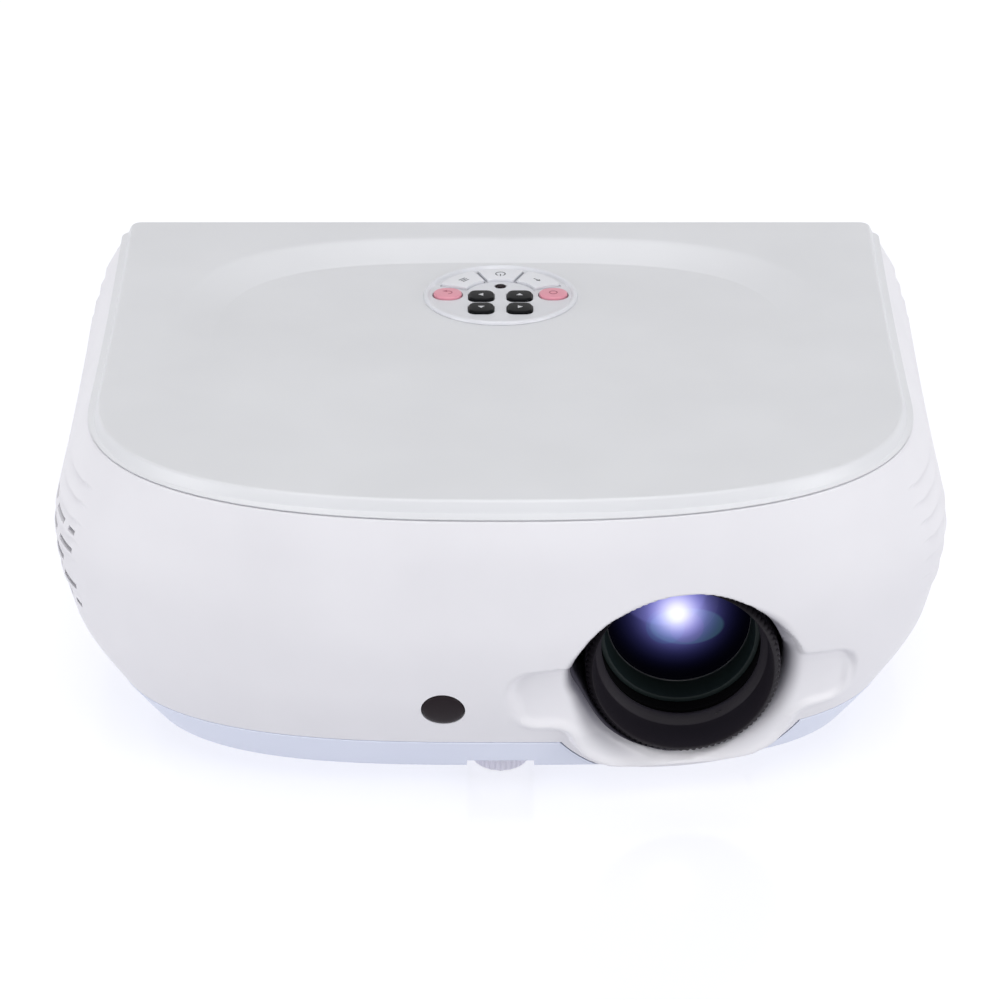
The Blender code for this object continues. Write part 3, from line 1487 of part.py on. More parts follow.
def make_mirror(look):
    height = BOX_HEIGHT - 2 * (BOX_WALL + SEAM)
    shape = bmesh.new()
    half = MIRROR_LENGTH / 2
    add_box(shape, (-half, 0, -height / 2), (half, MIRROR_THICKNESS, height / 2))
    mirror = object_from("fold_mirror", shape)
    mirror.location = (LENS_X, OPTIC_Y, LENS_Z)
    mirror.rotation_euler = (0, 0, math.radians(-45))
    return finish(mirror, look)


def rectangle_ring(x, width, height):
    half, rise = width / 2, height / 2
    corners = ((-half, -rise), (half, -rise), (half, rise), (-half, rise))
    return [(x, OPTIC_Y + across, LENS_Z + up) for across, up in corners]


def make_reflector(look):
    """A four-sided funnel from the light source to the open side of the light engine."""
    mouth = BOX_LEFT - SEAM
    throat = mouth - CONE_LENGTH
    lip = mouth - CONE_WALL
    inner_width = BOX_WIDTH - 2 * BOX_WALL
    inner_height = BOX_HEIGHT - 2 * BOX_WALL
    thick = 2 * CONE_WALL
    rings = [
        rectangle_ring(throat, CONE_THROAT + thick, CONE_THROAT + thick),
        rectangle_ring(lip, inner_width + CONE_WALL, inner_height + CONE_WALL),
        rectangle_ring(lip, BOX_WIDTH, BOX_HEIGHT),
        rectangle_ring(mouth, BOX_WIDTH, BOX_HEIGHT),
        rectangle_ring(mouth, inner_width, inner_height),
        rectangle_ring(throat, CONE_THROAT, CONE_THROAT),
    ]
    return finish(loft("reflector_cone", rings, looped=True), look)


def make_led(look):
    top = LED_BASE_THICKNESS
    dome = LED_DOME_RADIUS
    profile = [(0.0, top + dome)]
    for step in range(1, 4):
        turn = math.radians(90) * step / 4
        profile.append((dome * math.sin(turn), top + dome * math.cos(turn)))
    profile += [(dome, top), (LED_BASE_RADIUS, top), (LED_BASE_RADIUS, 0.0), (0.0, 0.0)]
    led = turned("led_module", profile, 16)
    led.location = (LED_X, OPTIC_Y, LENS_Z)
    led.rotation_euler = (0, math.radians(90), 0)
    return finish(led, look)


def make_heat_sink(look):
    """A comb outline seen from above, extruded upwards."""
    back_x = SINK_FACE_X - SINK_BASE
    tip_x = SINK_FACE_X - SINK_DEPTH
    left = OPTIC_Y - SINK_WIDTH / 2
    pitch = (SINK_WIDTH - FIN_THICKNESS) / (FIN_COUNT - 1)
    outline = [(SINK_FACE_X, left + SINK_WIDTH), (SINK_FACE_X, left)]
    for index in range(FIN_COUNT):
        start = left + pitch * index
        end = start + FIN_THICKNESS
        first = (back_x, start) if index else None
        last = (back_x, end) if index < FIN_COUNT - 1 else None
        outline += [point for point in (first, (tip_x, start), (tip_x, end), last) if point]
    sink = flat_piece("heat_sink", [outline], SINK_HEIGHT)
    return finish(at_height(sink, SINK_BOTTOM + SINK_HEIGHT / 2), look)


# Fans, turning about the X axis
def fan_frame(name, x, facing, look):
    """A square frame, with its motor plate on the side that the facing sign points away from."""
    half = FAN_SIZE / 2
    outer = rounded_rectangle((0, 0), FAN_SIZE, FAN_SIZE, FAN_CORNER_RADIUS, 2)
    corner = half - FAN_SCREW_INSET
    holes = [circle((a * corner, b * corner), FAN_SCREW_RADIUS, 6) for a in (-1, 1) for b in (-1, 1)]
    frame = flat_piece(name, [outer, circle((0, 0), FAN_BORE, 24), *holes], FAN_THICKNESS)
    shape = bmesh.new()
    plate_z = -FAN_THICKNESS / 2
    add_cylinder(shape, (0, 0, plate_z), FAN_PLATE, FAN_HUB_RADIUS, steps=16)
    hub = object_from(name + " motor plate", shape, helper=True)
    for index in range(FAN_STRUTS // 2):
        shape = bmesh.new()
        reach = FAN_BORE + SEAM
        wide = FAN_STRUT_WIDTH / 2
        add_box(shape, (-reach, -wide, plate_z + SEAM), (reach, wide, plate_z + FAN_PLATE - SEAM))
        turn = Matrix.Rotation(math.radians(45) + math.radians(90) * index, 4, "Z")
        bmesh.ops.transform(shape, matrix=turn, verts=shape.verts)
        add(hub, object_from(f"{name} strut {index}", shape, helper=True))
    length = FAN_PLATE + 2 * OVERRUN
    bore = cylinder(
        name + " bearing",
        (0, 0, plate_z - OVERRUN),
        length,
        FAN_SHAFT_RADIUS + SEAM,
        steps=12,
        helper=True,
    )
    add(frame, hub)
    cut(frame, bore)
    for piece in (frame, hub, bore, *hub_struts(name)):
        piece.matrix_world = fan_place(x, facing)
    return finish(frame, look)


def hub_struts(name):
    return [bpy.data.objects[f"{name} strut {index}"] for index in range(FAN_STRUTS // 2)]


def fan_place(x, facing):
    turn = Matrix.Rotation(math.radians(90) * facing, 4, "Y")
    return Matrix.Translation((x, OPTIC_Y, FAN_Z)) @ turn


def blade(shape, turn):
    """One blade, lofted from its root inside the hub to its tip, with its pitch growing outwards."""
    rows = []
    tip = FAN_BORE - FAN_TIP_GAP
    root = FAN_HUB_RADIUS * (1 - BLADE_SINK_SHARE)
    for share in BLADE_SHARES:
        radius = root + (tip - root) * share
        pitch = BLADE_ROOT_PITCH + (BLADE_TIP_PITCH - BLADE_ROOT_PITCH) * share
        half_chord = BLADE_CHORD / 2 * (1 + share / 3)
        half_thick = BLADE_THICKNESS / 2
        row = []
        for across, thick in ((-1, -1), (1, -1), (1, 1), (-1, 1)):
            along, up = across * half_chord, thick * half_thick
            swept = along * math.sin(pitch) - up * math.cos(pitch)
            raised_by = along * math.cos(pitch) + up * math.sin(pitch)
            spot = Vector((radius, swept, raised_by))
            spot.rotate(Matrix.Rotation(turn, 3, "Z"))
            row.append(shape.verts.new(spot))
        rows.append(row)
    for lower, upper in zip(rows, rows[1:]):
        for index in range(4):
            follower = (index + 1) % 4
            shape.faces.new((lower[index], lower[follower], upper[follower], upper[index]))
    shape.faces.new(rows[0])
    shape.faces.new(list(reversed(rows[-1])))


def fan_rotor(name, x, facing, look):
    plate_top = -FAN_THICKNESS / 2 + FAN_PLATE + RUNNING_GAP
    hub_top = plate_top + FAN_HUB_LENGTH
    shaft_low = -FAN_THICKNESS / 2 + FAN_PLATE / 4
    hub_round = FAN_HUB_RADIUS * FAN_HUB_ROUND_SHARE
    profile = [
        (0.0, hub_top),
        (FAN_HUB_RADIUS - hub_round, hub_top),
        (FAN_HUB_RADIUS, hub_top - hub_round),
        (FAN_HUB_RADIUS, plate_top),
        (FAN_SHAFT_RADIUS, plate_top),
        (FAN_SHAFT_RADIUS, shaft_low),
        (0.0, shaft_low),
    ]
    rotor = turned(name, profile, 18)
    shape = bmesh.new()
    for index in range(FAN_BLADES):
        blade(shape, 2 * math.pi * index / FAN_BLADES)
    middle = (plate_top + hub_top) / 2
    bmesh.ops.transform(shape, matrix=Matrix.Translation((0, 0, middle)), verts=shape.verts)
    blades = object_from(name + " blades", shape, helper=True)
    add(rotor, blades)
    for piece in (rotor, blades):
        piece.matrix_world = fan_place(x, facing)
    return finish(rotor, look)


# Rear panel, boards and sockets
def socket_places():
    """Each rear socket: its X, width and height. They stand on the main board."""
    places = {"hdmi_socket": (HDMI_X, HDMI_WIDTH, HDMI_HEIGHT)}
    for index in (1, 2):
        x = USB_X + USB_PITCH * (index - 1)
        places[f"usb_socket_{index}"] = (x, USB_WIDTH, USB_HEIGHT)
    return places


def jack_places():
    return {"av_jack": JACK_X, "headphone_jack": JACK_X + JACK_PITCH}


def make_rear_panel(look):
    outlines = [window_outline(PANEL_LAP)]
    low = BOARD_TOP_Z + SEAM
    for x, width, height in socket_places().values():
        middle = (x, low + height / 2)
        wide, high = width + 2 * SEAM, height + 2 * SEAM
        outlines.append(rounded_rectangle(middle, wide, high, SOCKET_WALL, 2))
    for x in jack_places().values():
        outlines.append(circle((x, low + JACK_HEIGHT / 2), JACK_BARREL + SEAM, 14))
    wide, high = INLET_WIDTH + 2 * SEAM, INLET_HEIGHT + 2 * SEAM
    outlines.append(rounded_rectangle((INLET_X, INLET_Z), wide, high, SOCKET_WALL, 2))
    panel = flat_piece("rear_panel", outlines, REAR_PANEL_THICKNESS)
    upright(panel, REAR_PANEL_Y - REAR_PANEL_THICKNESS / 2)
    return finish(panel, look)


def make_socket(name, x, width, height, look):
    """A metal shell on the board with a tongue in its mouth, open towards the back."""
    low = BOARD_TOP_Z + SEAM
    mouth = REAR_PANEL_Y + SOCKET_PROUD
    bottom = mouth - SOCKET_DEPTH
    shell = box(name, (x - width / 2, bottom, low), (x + width / 2, mouth, low + height))
    wall = SOCKET_WALL
    inner_low = (x - width / 2 + wall, bottom + 2 * wall, low + wall)
    inner_high = (x + width / 2 - wall, mouth + OVERRUN, low + height - wall)
    hollow = box(name + " mouth", inner_low, inner_high, helper=True)
    tongue_z = low + height * TONGUE_SHARE
    tongue_low = (x - width / 2 + 2 * wall, bottom + wall, tongue_z)
    tongue_high = (x + width / 2 - 2 * wall, mouth - wall, tongue_z + 2 * wall)
    tongue = box(name + " tongue", tongue_low, tongue_high, helper=True)
    cut(shell, hollow)
    add(shell, tongue)
    return finish(shell, look)


def make_jack(name, x, look):
    low = BOARD_TOP_Z + SEAM
    middle = low + JACK_HEIGHT / 2
    back = REAR_PANEL_Y - REAR_PANEL_THICKNESS - SEAM
    front = back - SOCKET_DEPTH
    half = JACK_WIDTH / 2
    body = box(name, (x - half, front, low), (x + half, back, low + JACK_HEIGHT))
    length = REAR_PANEL_THICKNESS + SEAM + SOCKET_PROUD + SOCKET_WALL
    start = (x, back - SOCKET_WALL, middle)
    barrel = cylinder(name + " barrel", start, length, JACK_BARREL, "Y", 14, helper=True)
    start = (x, front + 2 * SOCKET_WALL, middle)
    bore = cylinder(name + " bore", start, BODY_DEPTH / 4, JACK_BORE, "Y", 10, helper=True)
    add(body, barrel)
    cut(body, bore)
    return finish(body, look)


def make_inlet(look):
    """The two-pin mains inlet: a flange on the panel, a body behind it and two pins in its mouth."""
    flange_y = REAR_PANEL_Y + SEAM
    middle = (INLET_X, INLET_Z)
    wide, high = INLET_WIDTH + 2 * INLET_FLANGE, INLET_HEIGHT + 2 * INLET_FLANGE
    outline = rounded_rectangle(middle, wide, high, INLET_FLANGE)
    inlet = flat_piece("power_inlet", [outline], INLET_FLANGE_THICKNESS)
    upright(inlet, flange_y + INLET_FLANGE_THICKNESS / 2)
    half, rise = INLET_WIDTH / 2, INLET_HEIGHT / 2
    face = flange_y + INLET_FLANGE_THICKNESS
    low = (INLET_X - half, face - INLET_DEPTH, INLET_Z - rise)
    high_corner = (INLET_X + half, flange_y + INLET_FLANGE_THICKNESS / 2, INLET_Z + rise)
    body = box("inlet body", low, high_corner, helper=True)
    round_end = INLET_CAVITY_HEIGHT * INLET_CAVITY_ROUND_SHARE
    mouth = rounded_rectangle(middle, INLET_CAVITY_WIDTH, INLET_CAVITY_HEIGHT, round_end, 4)
    hollow = flat_piece("inlet mouth", [mouth], INLET_CAVITY_DEPTH + OVERRUN, helper=True)
    upright(hollow, face + (OVERRUN - INLET_CAVITY_DEPTH) / 2)
    shape = bmesh.new()
    for side in (-1, 1):
        start = (INLET_X + side * INLET_PIN_SPACING / 2, face - INLET_CAVITY_DEPTH - SOCKET_WALL, INLET_Z)
        add_cylinder(shape, start, INLET_PIN_LENGTH + SOCKET_WALL, INLET_PIN_RADIUS, "Y", 12)
    pins = object_from("inlet pins", shape, helper=True)
    add(inlet, body)
    cut(inlet, hollow)
    add(inlet, pins)
    return finish(inlet, look)


def make_main_board(look):
    """The board on the light engine, with its main chip's cooler and a few parts."""
    low = (BOARD_LEFT, BOARD_FRONT, BOARD_Z)
    board = box("main_board", low, (BOARD_RIGHT, BOARD_BACK, BOARD_TOP_Z))
    shape = bmesh.new()
    width = BOARD_RIGHT - BOARD_LEFT
    depth = BOARD_BACK - BOARD_FRONT
    for across, along, share, rise in BOARD_PART_SHARES:
        x, y = BOARD_LEFT + across * width, BOARD_FRONT + along * depth
        half = share * width / 2
        top = BOARD_TOP_Z + rise * BOARD_THICKNESS
        add_box(shape, (x - half, y - half, BOARD_Z + BOARD_THICKNESS / 2), (x + half, y + half, top))
    add(board, object_from("board parts", shape, helper=True))
    return finish(board, look)


def make_power_board(look):
    low = (POWER_LEFT, POWER_FRONT, POWER_BOARD_Z)
    top = POWER_BOARD_Z + BOARD_THICKNESS
    board = box("power_board", low, (POWER_RIGHT, POWER_BACK, top))
    shape = bmesh.new()
    start_z = top - BOARD_THICKNESS / 2
    wide, deep, tall = TRANSFORMER_SIZE
    x = POWER_LEFT + wide
    middle = (POWER_FRONT + POWER_BACK) / 2
    add_box(shape, (x - wide / 2, middle - deep / 2, start_z), (x + wide / 2, middle + deep / 2, top + tall))
    x = POWER_RIGHT - 2 * CAPACITOR_RADIUS
    add_cylinder(shape, (x, middle, start_z), CAPACITOR_LENGTH, CAPACITOR_RADIUS, steps=20)
    add(board, object_from("power parts", shape, helper=True))
    return finish(board, look)


def make_speaker(looks):
    half, rise = SPEAKER_LENGTH / 2, SPEAKER_HEIGHT
    low_z = FLOOR_Z + SEAM
    outer = SPEAKER_X + SPEAKER_THICKNESS / 2
    low = (SPEAKER_X - SPEAKER_THICKNESS / 2, SPEAKER_Y - half, low_z)
    speaker = box("speaker", low, (outer, SPEAKER_Y + half, low_z + rise))
    shape = bmesh.new()
    start = (outer - SPEAKER_CONE_DEPTH, SPEAKER_Y, low_z + rise / 2)
    length = SPEAKER_CONE_DEPTH + OVERRUN
    slope = SPEAKER_CONE_RADIUS * length / SPEAKER_CONE_DEPTH
    add_cylinder(shape, start, length, SPEAKER_CONE_RADIUS / 3, "X", 24, end_radius=slope)
    cut(speaker, object_from("speaker cone", shape, helper=True))
    return finish(speaker, looks["black"])


# Feet and screws
def make_tilt_foot(looks):
    """The front foot: a rubber pad, a ribbed knob with its screw, and the insert that it turns in."""
    pad_profile = [(0.0, PAD_HEIGHT), (PAD_RADIUS, PAD_HEIGHT), (PAD_RADIUS, 0.0), (0.0, 0.0)]
    pad = turned("tilt_pad", pad_profile, 16)
    pad.location = (0, TILT_Y, 0)
    knob_low = PAD_HEIGHT + SEAM
    knob = flat_piece("tilt_knob", [toothed(KNOB_RADIUS, KNOB_RIB_DEPTH, KNOB_RIBS)], KNOB_HEIGHT)
    at_height(knob, KNOB_HEIGHT / 2)
    shape = bmesh.new()
    top = TILT_SCREW_TOP - knob_low
    start = (0, 0, KNOB_HEIGHT / 2)
    add_cylinder(shape, start, top - KNOB_HEIGHT / 2, TILT_SCREW_RADIUS, steps=16)
    screw = object_from("tilt screw", shape, helper=True)
    add(knob, screw)
    for piece in (knob, screw):
        piece.location = (0, TILT_Y, knob_low)
    bottom = FOOT_HEIGHT + NOTCH_HEIGHT + SEAM
    outer = insert_radius()
    bore = TILT_SCREW_RADIUS + SEAM
    insert_profile = [(outer, FOOT_BOSS_TOP), (outer, bottom), (bore, bottom), (bore, FOOT_BOSS_TOP)]
    insert = turned("foot_insert", insert_profile, 16)
    insert.location = (0, TILT_Y, 0)
    finish(pad, looks["black"])
    finish(knob, looks["white"])
    finish(insert, looks["brass"])


def make_rear_feet(look):
    top = FOOT_HEIGHT - SEAM
    narrow = REAR_FOOT_RADIUS * REAR_FOOT_TIP_SHARE
    profile = [(0.0, top), (REAR_FOOT_RADIUS, top), (narrow, 0.0), (0.0, 0.0)]
    for name, side in (("rear_foot_left", -1), ("rear_foot_right", 1)):
        foot = turned(name, profile, 16)
        foot.location = (side * REAR_FOOT_X, REAR_FOOT_Y, 0)
        finish(foot, look)


def make_case_screws(look):
    head_low = FOOT_HEIGHT + SCREW_RECESS - SCREW_HEAD_HEIGHT - SEAM
    head_top = head_low + SCREW_HEAD_HEIGHT
    tip = head_low + SCREW_LENGTH
    profile = [
        (0.0, tip),
        (SCREW_RADIUS, tip - SCREW_RADIUS),
        (SCREW_RADIUS, head_top),
        (SCREW_HEAD_RADIUS, head_top),
        (SCREW_HEAD_RADIUS, head_low),
        (0.0, head_low),
    ]
    for index, (x, y) in enumerate(post_places(), 1):
        screw = turned(f"case_screw_{index}", profile, 8)
        screw.location = (x, y, 0)
        finish(screw, look)


def main():
    looks = {
        "white": material("white plastic", WHITE, 0.35),
        "dish": material("grey white plastic", DISH_GREY, 0.45),
        "blue": material("cool white plastic", BLUE_WHITE, 0.40),
        "black": material("black plastic", BLACK, 0.45),
        "pink": material("pink plastic", PINK, 0.35),
        "board": material("circuit board", CIRCUIT_GREEN, 0.50),
        "metal": material("aluminium", METAL, 0.35, 1.0),
        "brass": material("brass", BRASS, 0.35, 1.0),
        "glass": material("lens glass", GLASS, 0.05),
    }
    make_main_housing(looks["white"])
    make_bottom_cover(looks["blue"])
    make_top_cover(looks["dish"])
    make_keypad(looks)
    make_ir_window(looks["black"])
    make_ir_board(looks["board"])
    make_lens_group(looks)
    make_lens_mount(looks["black"])
    make_optical_box(looks["black"])
    inner_plate("collimator_fresnel", BOX_LEFT + COLLIMATOR_SETBACK, FRESNEL_THICKNESS, looks["glass"])
    inner_plate("lcd_panel", BOX_LEFT + LCD_SETBACK, LCD_THICKNESS, looks["glass"])
    inner_plate("field_fresnel", BOX_LEFT + FIELD_SETBACK, FRESNEL_THICKNESS, looks["glass"])
    make_mirror(looks["metal"])
    make_reflector(looks["metal"])
    make_led(looks["metal"])
    make_heat_sink(looks["metal"])
    for name, x, facing in (("exhaust_fan", EXHAUST_FAN_X, 1), ("intake_fan", INTAKE_FAN_X, -1)):
        fan_frame(name + "_frame", x, facing, looks["black"])
        fan_rotor(name + "_rotor", x, facing, looks["black"])
    make_rear_panel(looks["black"])
    make_main_board(looks["board"])
    for name, (x, width, height) in socket_places().items():
        make_socket(name, x, width, height, looks["metal"])
    for name, x in jack_places().items():
        make_jack(name, x, looks["black"])
    make_inlet(looks["black"])
    make_power_board(looks["board"])
    make_speaker(looks)
    make_tilt_foot(looks)
    make_rear_feet(looks["black"])
    make_case_screws(looks["metal"])


main()
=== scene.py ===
"""A compact LED home projector: fine case shells, lens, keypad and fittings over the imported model."""
import math

import bmesh
import bpy
from mathutils import Matrix, Vector


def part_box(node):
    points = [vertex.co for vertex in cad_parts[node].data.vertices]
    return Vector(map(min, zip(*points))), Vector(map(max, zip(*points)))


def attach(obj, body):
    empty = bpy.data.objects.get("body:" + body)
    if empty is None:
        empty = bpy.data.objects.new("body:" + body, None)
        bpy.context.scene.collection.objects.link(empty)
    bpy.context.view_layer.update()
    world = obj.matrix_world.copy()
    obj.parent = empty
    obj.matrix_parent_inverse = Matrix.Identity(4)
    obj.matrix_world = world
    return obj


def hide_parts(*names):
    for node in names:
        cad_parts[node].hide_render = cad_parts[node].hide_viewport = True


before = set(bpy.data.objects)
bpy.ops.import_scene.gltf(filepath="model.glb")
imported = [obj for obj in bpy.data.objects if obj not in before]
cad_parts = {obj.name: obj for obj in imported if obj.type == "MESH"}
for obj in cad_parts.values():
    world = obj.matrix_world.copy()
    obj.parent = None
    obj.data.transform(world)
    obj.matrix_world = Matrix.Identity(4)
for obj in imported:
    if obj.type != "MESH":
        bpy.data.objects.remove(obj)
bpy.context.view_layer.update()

# Sizes of the case, in metres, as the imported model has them
HALF_WIDTH, BODY_HEIGHT = 0.1106, 0.085
FRONT_Y, BACK_Y = -0.084, 0.084
FOOT_HEIGHT, LOWER_SEAM_Z, UPPER_SEAM_Z = 0.007, 0.017, 0.081
SHELL_HEIGHT = BODY_HEIGHT - FOOT_HEIGHT
SEAM, WALL = 0.0003, 0.0022
CORNER_DEPTH = 0.0652
SIDE_START_Y = FRONT_Y + CORNER_DEPTH
REAR_CORNER, BACK_FLARE = 0.0038, 0.0017
TOP_ROUND, UNDER_ROUND = 0.002, 0.0012
# Level sections by their share of the shell's height: the width, the corner's depth and the curve's power
STATIONS = (0.0, 0.128, 0.333, 0.577, 0.808, 0.949, 1.0)
WIDTHS = (0.798, 0.874, 0.97, 1.0, 0.96, 0.915, 0.901)
DEPTHS = (0.775, 0.851, 0.951, 1.0, 0.986, 0.951, 0.92)
POWERS = (3.08, 2.85, 2.45, 2.33, 2.33, 2.45, 2.6)
# Louvres on the sides, and the air slots between them
LOUVRE_PITCH = 0.005
LOUVRE_LINES = [0.072 - LOUVRE_PITCH * line for line in range(7)]
LOUVRE_STEP, LOUVRE_SINK, LOUVRE_START, LOUVRE_FADE = 0.0009, 0.0004, 0.036, 0.006
SLOT_TOP_Z, SLOT_PITCH, SLOT_LENGTH, SLOT_HEIGHT = 0.0713, 0.0125, 0.009, 0.0013
SHORT_SLOT, SHORT_SLOT_AHEAD, SLOT_CUT = 0.0036, 0.0027, 0.01
# Which side the slots are on, how far behind the front they start, and how many stand in a row
SLOT_SIDES = ((-1, 0.0425, 7), (1, 0.08, 4))
REAR_HALF_WIDTH, REAR_LOW_Z, REAR_HIGH_Z = 0.086, 0.021, 0.075
# The lens and the moulding round it
LENS_X, LENS_Z, RING_FRONT_Y = 0.0437, 0.036, -0.0705
SURROUND_RADIUS, WING_REACH = 0.0256, 0.043
APRON_RADIUS, APRON_BACK_Y = 0.0347, -0.004
CHIN_HALF_WIDTH, CHIN_DROP, CHIN_ROUND = 0.0195, 0.0026, 0.0022
# The opening's reach from the lens axis in millimetres, by turns in degrees, anticlockwise from the right
OPENING_TURNS = (-90, -50, -20, 0, 20, 34, 53, 86, 104, 118, 135, 152, 166, 180, 190, 203, 225, 250, 270)
OPENING_REACH = (
    23.65, 23.7, 24.1, 24.3, 24.7, 24.9, 25.1, 25.2, 25.3, 25.5, 26.4, 27.2, 27.9, 26.7, 25.0, 24.1, 23.8,
    23.7, 23.65,
)
# How wide in millimetres and how deep the painted shade beside the opening is, by turns
SHADE_TURNS = (-90, -50, 0, 30, 60, 150, 168, 190, 225, 250, 270)
SHADE_WIDTH = (3.0, 6.5, 5.4, 4.0, 0.5, 0.5, 1.6, 3.4, 6.0, 6.0, 3.0)
SHADE_DEPTH = (0.0, 0.3, 0.85, 0.85, 0.3, 0.3, 0.85, 0.95, 0.66, 0.28, 0.0)
SLEEVE_BACK_Y = -0.056
IR_X, IR_Z, IR_HOLE = -0.0137, 0.0293, 0.0053
# The dish in the top: its wall lies in a band along a superellipse, its floor falls towards the back
DISH_HALF_WIDTH, DISH_CENTRE_Y, DISH_REACH_BACK, DISH_POWER = 0.085, 0.003, 0.07, 3.3
DISH_FRONT_Y, DISH_RUN, DISH_DEPTH, DISH_BAND, DISH_EASE = -0.0285, 0.1, 0.004, 0.012, 0.3
# The keypad, about its middle on the dish floor
KEY_TOP, KEY_GAP = 0.0009, 0.0003
WHITE_KEYS = {"menu": 137, "power": 90, "source": 43}
WHITE_KEY_INNER, WHITE_KEY_OUTER, WHITE_KEY_SPAN = 0.0096, 0.0168, math.radians(42)
PINK_KEYS = {"back": (-0.0138, 0.0002), "ok": (0.0138, 0.0002)}
BLACK_KEYS = {
    "left": (-0.005, -0.0012), "up": (0.005, -0.0012),
    "down": (-0.005, -0.0096), "right": (0.005, -0.0096),
}
# Width, depth and corner of the pink and the black keys
PINK_SIZE, BLACK_SIZE = (0.0074, 0.007, 0.00322), (0.0064, 0.0066, 0.0019)
LAMP_Y = 0.0062
# The tilt foot, its notch, and the vents and screw wells of the bottom cover
FOOT_Y, FOOT_NOTCH = -0.054, 0.0082
VENT_Y, VENT_PITCH, VENT_WIDTH = 0.034, 0.00625, 0.0022
SCREWS = [(x, y) for x in (-0.08, 0.08) for y in (-0.004, 0.07)]
# The points along each tooth of a grip, and how near two points are joined
TOOTH_POINTS, MERGE = 6, 0.000002


# Colours and materials
def linear(code):
    """The linear colour of an sRGB hex value."""
    parts = [int(code[start : start + 2], 16) / 255 for start in (1, 3, 5)]
    return (*(p / 12.92 if p <= 0.04045 else ((p + 0.055) / 1.055) ** 2.4 for p in parts), 1.0)


def add_node(tree, kind, inputs=None, **settings):
    """Adds one node with its settings; an input is a value or another node's output."""
    node = tree.nodes.new("ShaderNode" + kind)
    for name, value in settings.items():
        setattr(node, name, value)
    for socket, value in (inputs or {}).items():
        if isinstance(value, bpy.types.NodeSocket):
            tree.links.new(value, node.inputs[socket])
        else:
            node.inputs[socket].default_value = value
    return node


def surface(name, constants):
    """A new material: its tree, its shader with these constants, and the object's own coordinates."""
    material = bpy.data.materials.new(name)
    material.use_nodes = True
    tree = material.node_tree
    shader = tree.nodes["Principled BSDF"]
    for socket, value in constants.items():
        shader.inputs[socket].default_value = value
    return material, tree, shader, add_node(tree, "TexCoord").outputs["Object"]


def blotches(tree, place, size_mm, detail=2.0):
    """Soft noise whose patches are about this many millimetres across."""
    noise = add_node(tree, "TexNoise", {"Vector": place, "Scale": 1000 / size_mm, "Detail": detail})
    return noise.outputs["Fac"]


def colour_ramp(tree, pattern, stops, blend="LINEAR"):
    """The colours that a pattern passes through, from stops of (position, sRGB hex)."""
    node = add_node(tree, "ValToRGB", {"Fac": pattern})
    node.color_ramp.interpolation = blend
    elements = node.color_ramp.elements
    for element, (position, code) in zip(elements, (stops[0], stops[-1])):
        element.position, element.color = position, linear(code)
    for position, code in stops[1:-1]:
        elements.new(position).color = linear(code)
    return node.outputs["Color"]


def tone(tree, shader, pattern, dark, light):
    """Colours the surface between two tones by a pattern."""
    ramp = colour_ramp(tree, pattern, ((0.3, dark), (0.7, light)))
    tree.links.new(ramp, shader.inputs["Base Color"])


def relief(tree, shader, pattern, height_mm):
    """Raises the surface by a pattern of this height."""
    raised = {"Height": pattern, "Distance": height_mm / 1000, "Strength": 1.0}
    bump = add_node(tree, "Bump", raised)
    tree.links.new(bump.outputs["Normal"], shader.inputs["Normal"])


def moulded_plastic(name, dark, light, roughness, grain_mm=0.4, grain_height_mm=0.006, specular=0.5):
    """A moulded or coated surface: an even colour, a fine grain and a soft broken gloss."""
    constants = {"Roughness": roughness, "Specular IOR Level": specular}
    material, tree, shader, place = surface(name, constants)
    tone(tree, shader, blotches(tree, place, 30.0), dark, light)
    relief(tree, shader, blotches(tree, place, grain_mm, 3.0), grain_height_mm)
    spread = {"Value": blotches(tree, place, 2.5), "To Min": roughness - 0.04, "To Max": roughness + 0.04}
    gloss = add_node(tree, "MapRange", spread)
    tree.links.new(gloss.outputs["Result"], shader.inputs["Roughness"])
    return material


def bare_material(name, roughness, constants, size_mm, dark, light, grain_height_mm=0.0):
    """A metal or clear material with a faint cloudy finish and, if asked, a fine grain."""
    material, tree, shader, place = surface(name, {"Roughness": roughness, **constants})
    tone(tree, shader, blotches(tree, place, size_mm), dark, light)
    if grain_height_mm:
        relief(tree, shader, blotches(tree, place, 0.4), grain_height_mm)
    return material


def paint_shade_by_the_ring(material):
    """Paints shade beside the focus ring: the white is mixed towards violet grey, a painted shade where light
    is lost in the black sleeve.
    """
    tree = material.node_tree
    base = tree.nodes["Principled BSDF"].inputs["Base Color"]
    share = add_node(tree, "Attribute", attribute_name="painted_gap_shade").outputs["Fac"]
    # The violet grey #5C5A66 is the colour of the painted shade
    tones = {0: share, 6: base.links[0].from_socket, 7: linear("#5C5A66")}
    tree.links.new(add_node(tree, "Mix", tones, data_type="RGBA").outputs[2], base)


# White ABS of the case: warm grey-white, satin, the grain shows only as a soft edge to highlights
CASE_WHITE = moulded_plastic("moulded_abs_case_white", "#E2E1E6", "#E6E5EA", 0.42)
# The case's white takes a painted shade beside the focus ring
paint_shade_by_the_ring(CASE_WHITE)
# The top is the same plastic, a shade greyer, with a slightly tighter gloss
TOP_WHITE = moulded_plastic("moulded_abs_top_white", "#D6D7DB", "#DADBDF", 0.4)
# The bottom cover is coloured a cooler white than the case, so it reads slightly blue beside it
BASE_WHITE = moulded_plastic("moulded_abs_base_cool_white", "#DCE1F2", "#E0E5F5", 0.45)
# The keypad plate: smooth injection-moulded ABS, a little glossier and greyer than the top
PLATE_WHITE = moulded_plastic("moulded_abs_keypad_plate", "#D3D4DA", "#D7D8DE", 0.32, 0.3, 0.003)
# White keys: the plate's ABS from a more polished mould, so they stand a shade brighter on it
KEY_WHITE = moulded_plastic("moulded_abs_key_white", "#DADBE1", "#DEDFE5", 0.3, 0.3, 0.003)
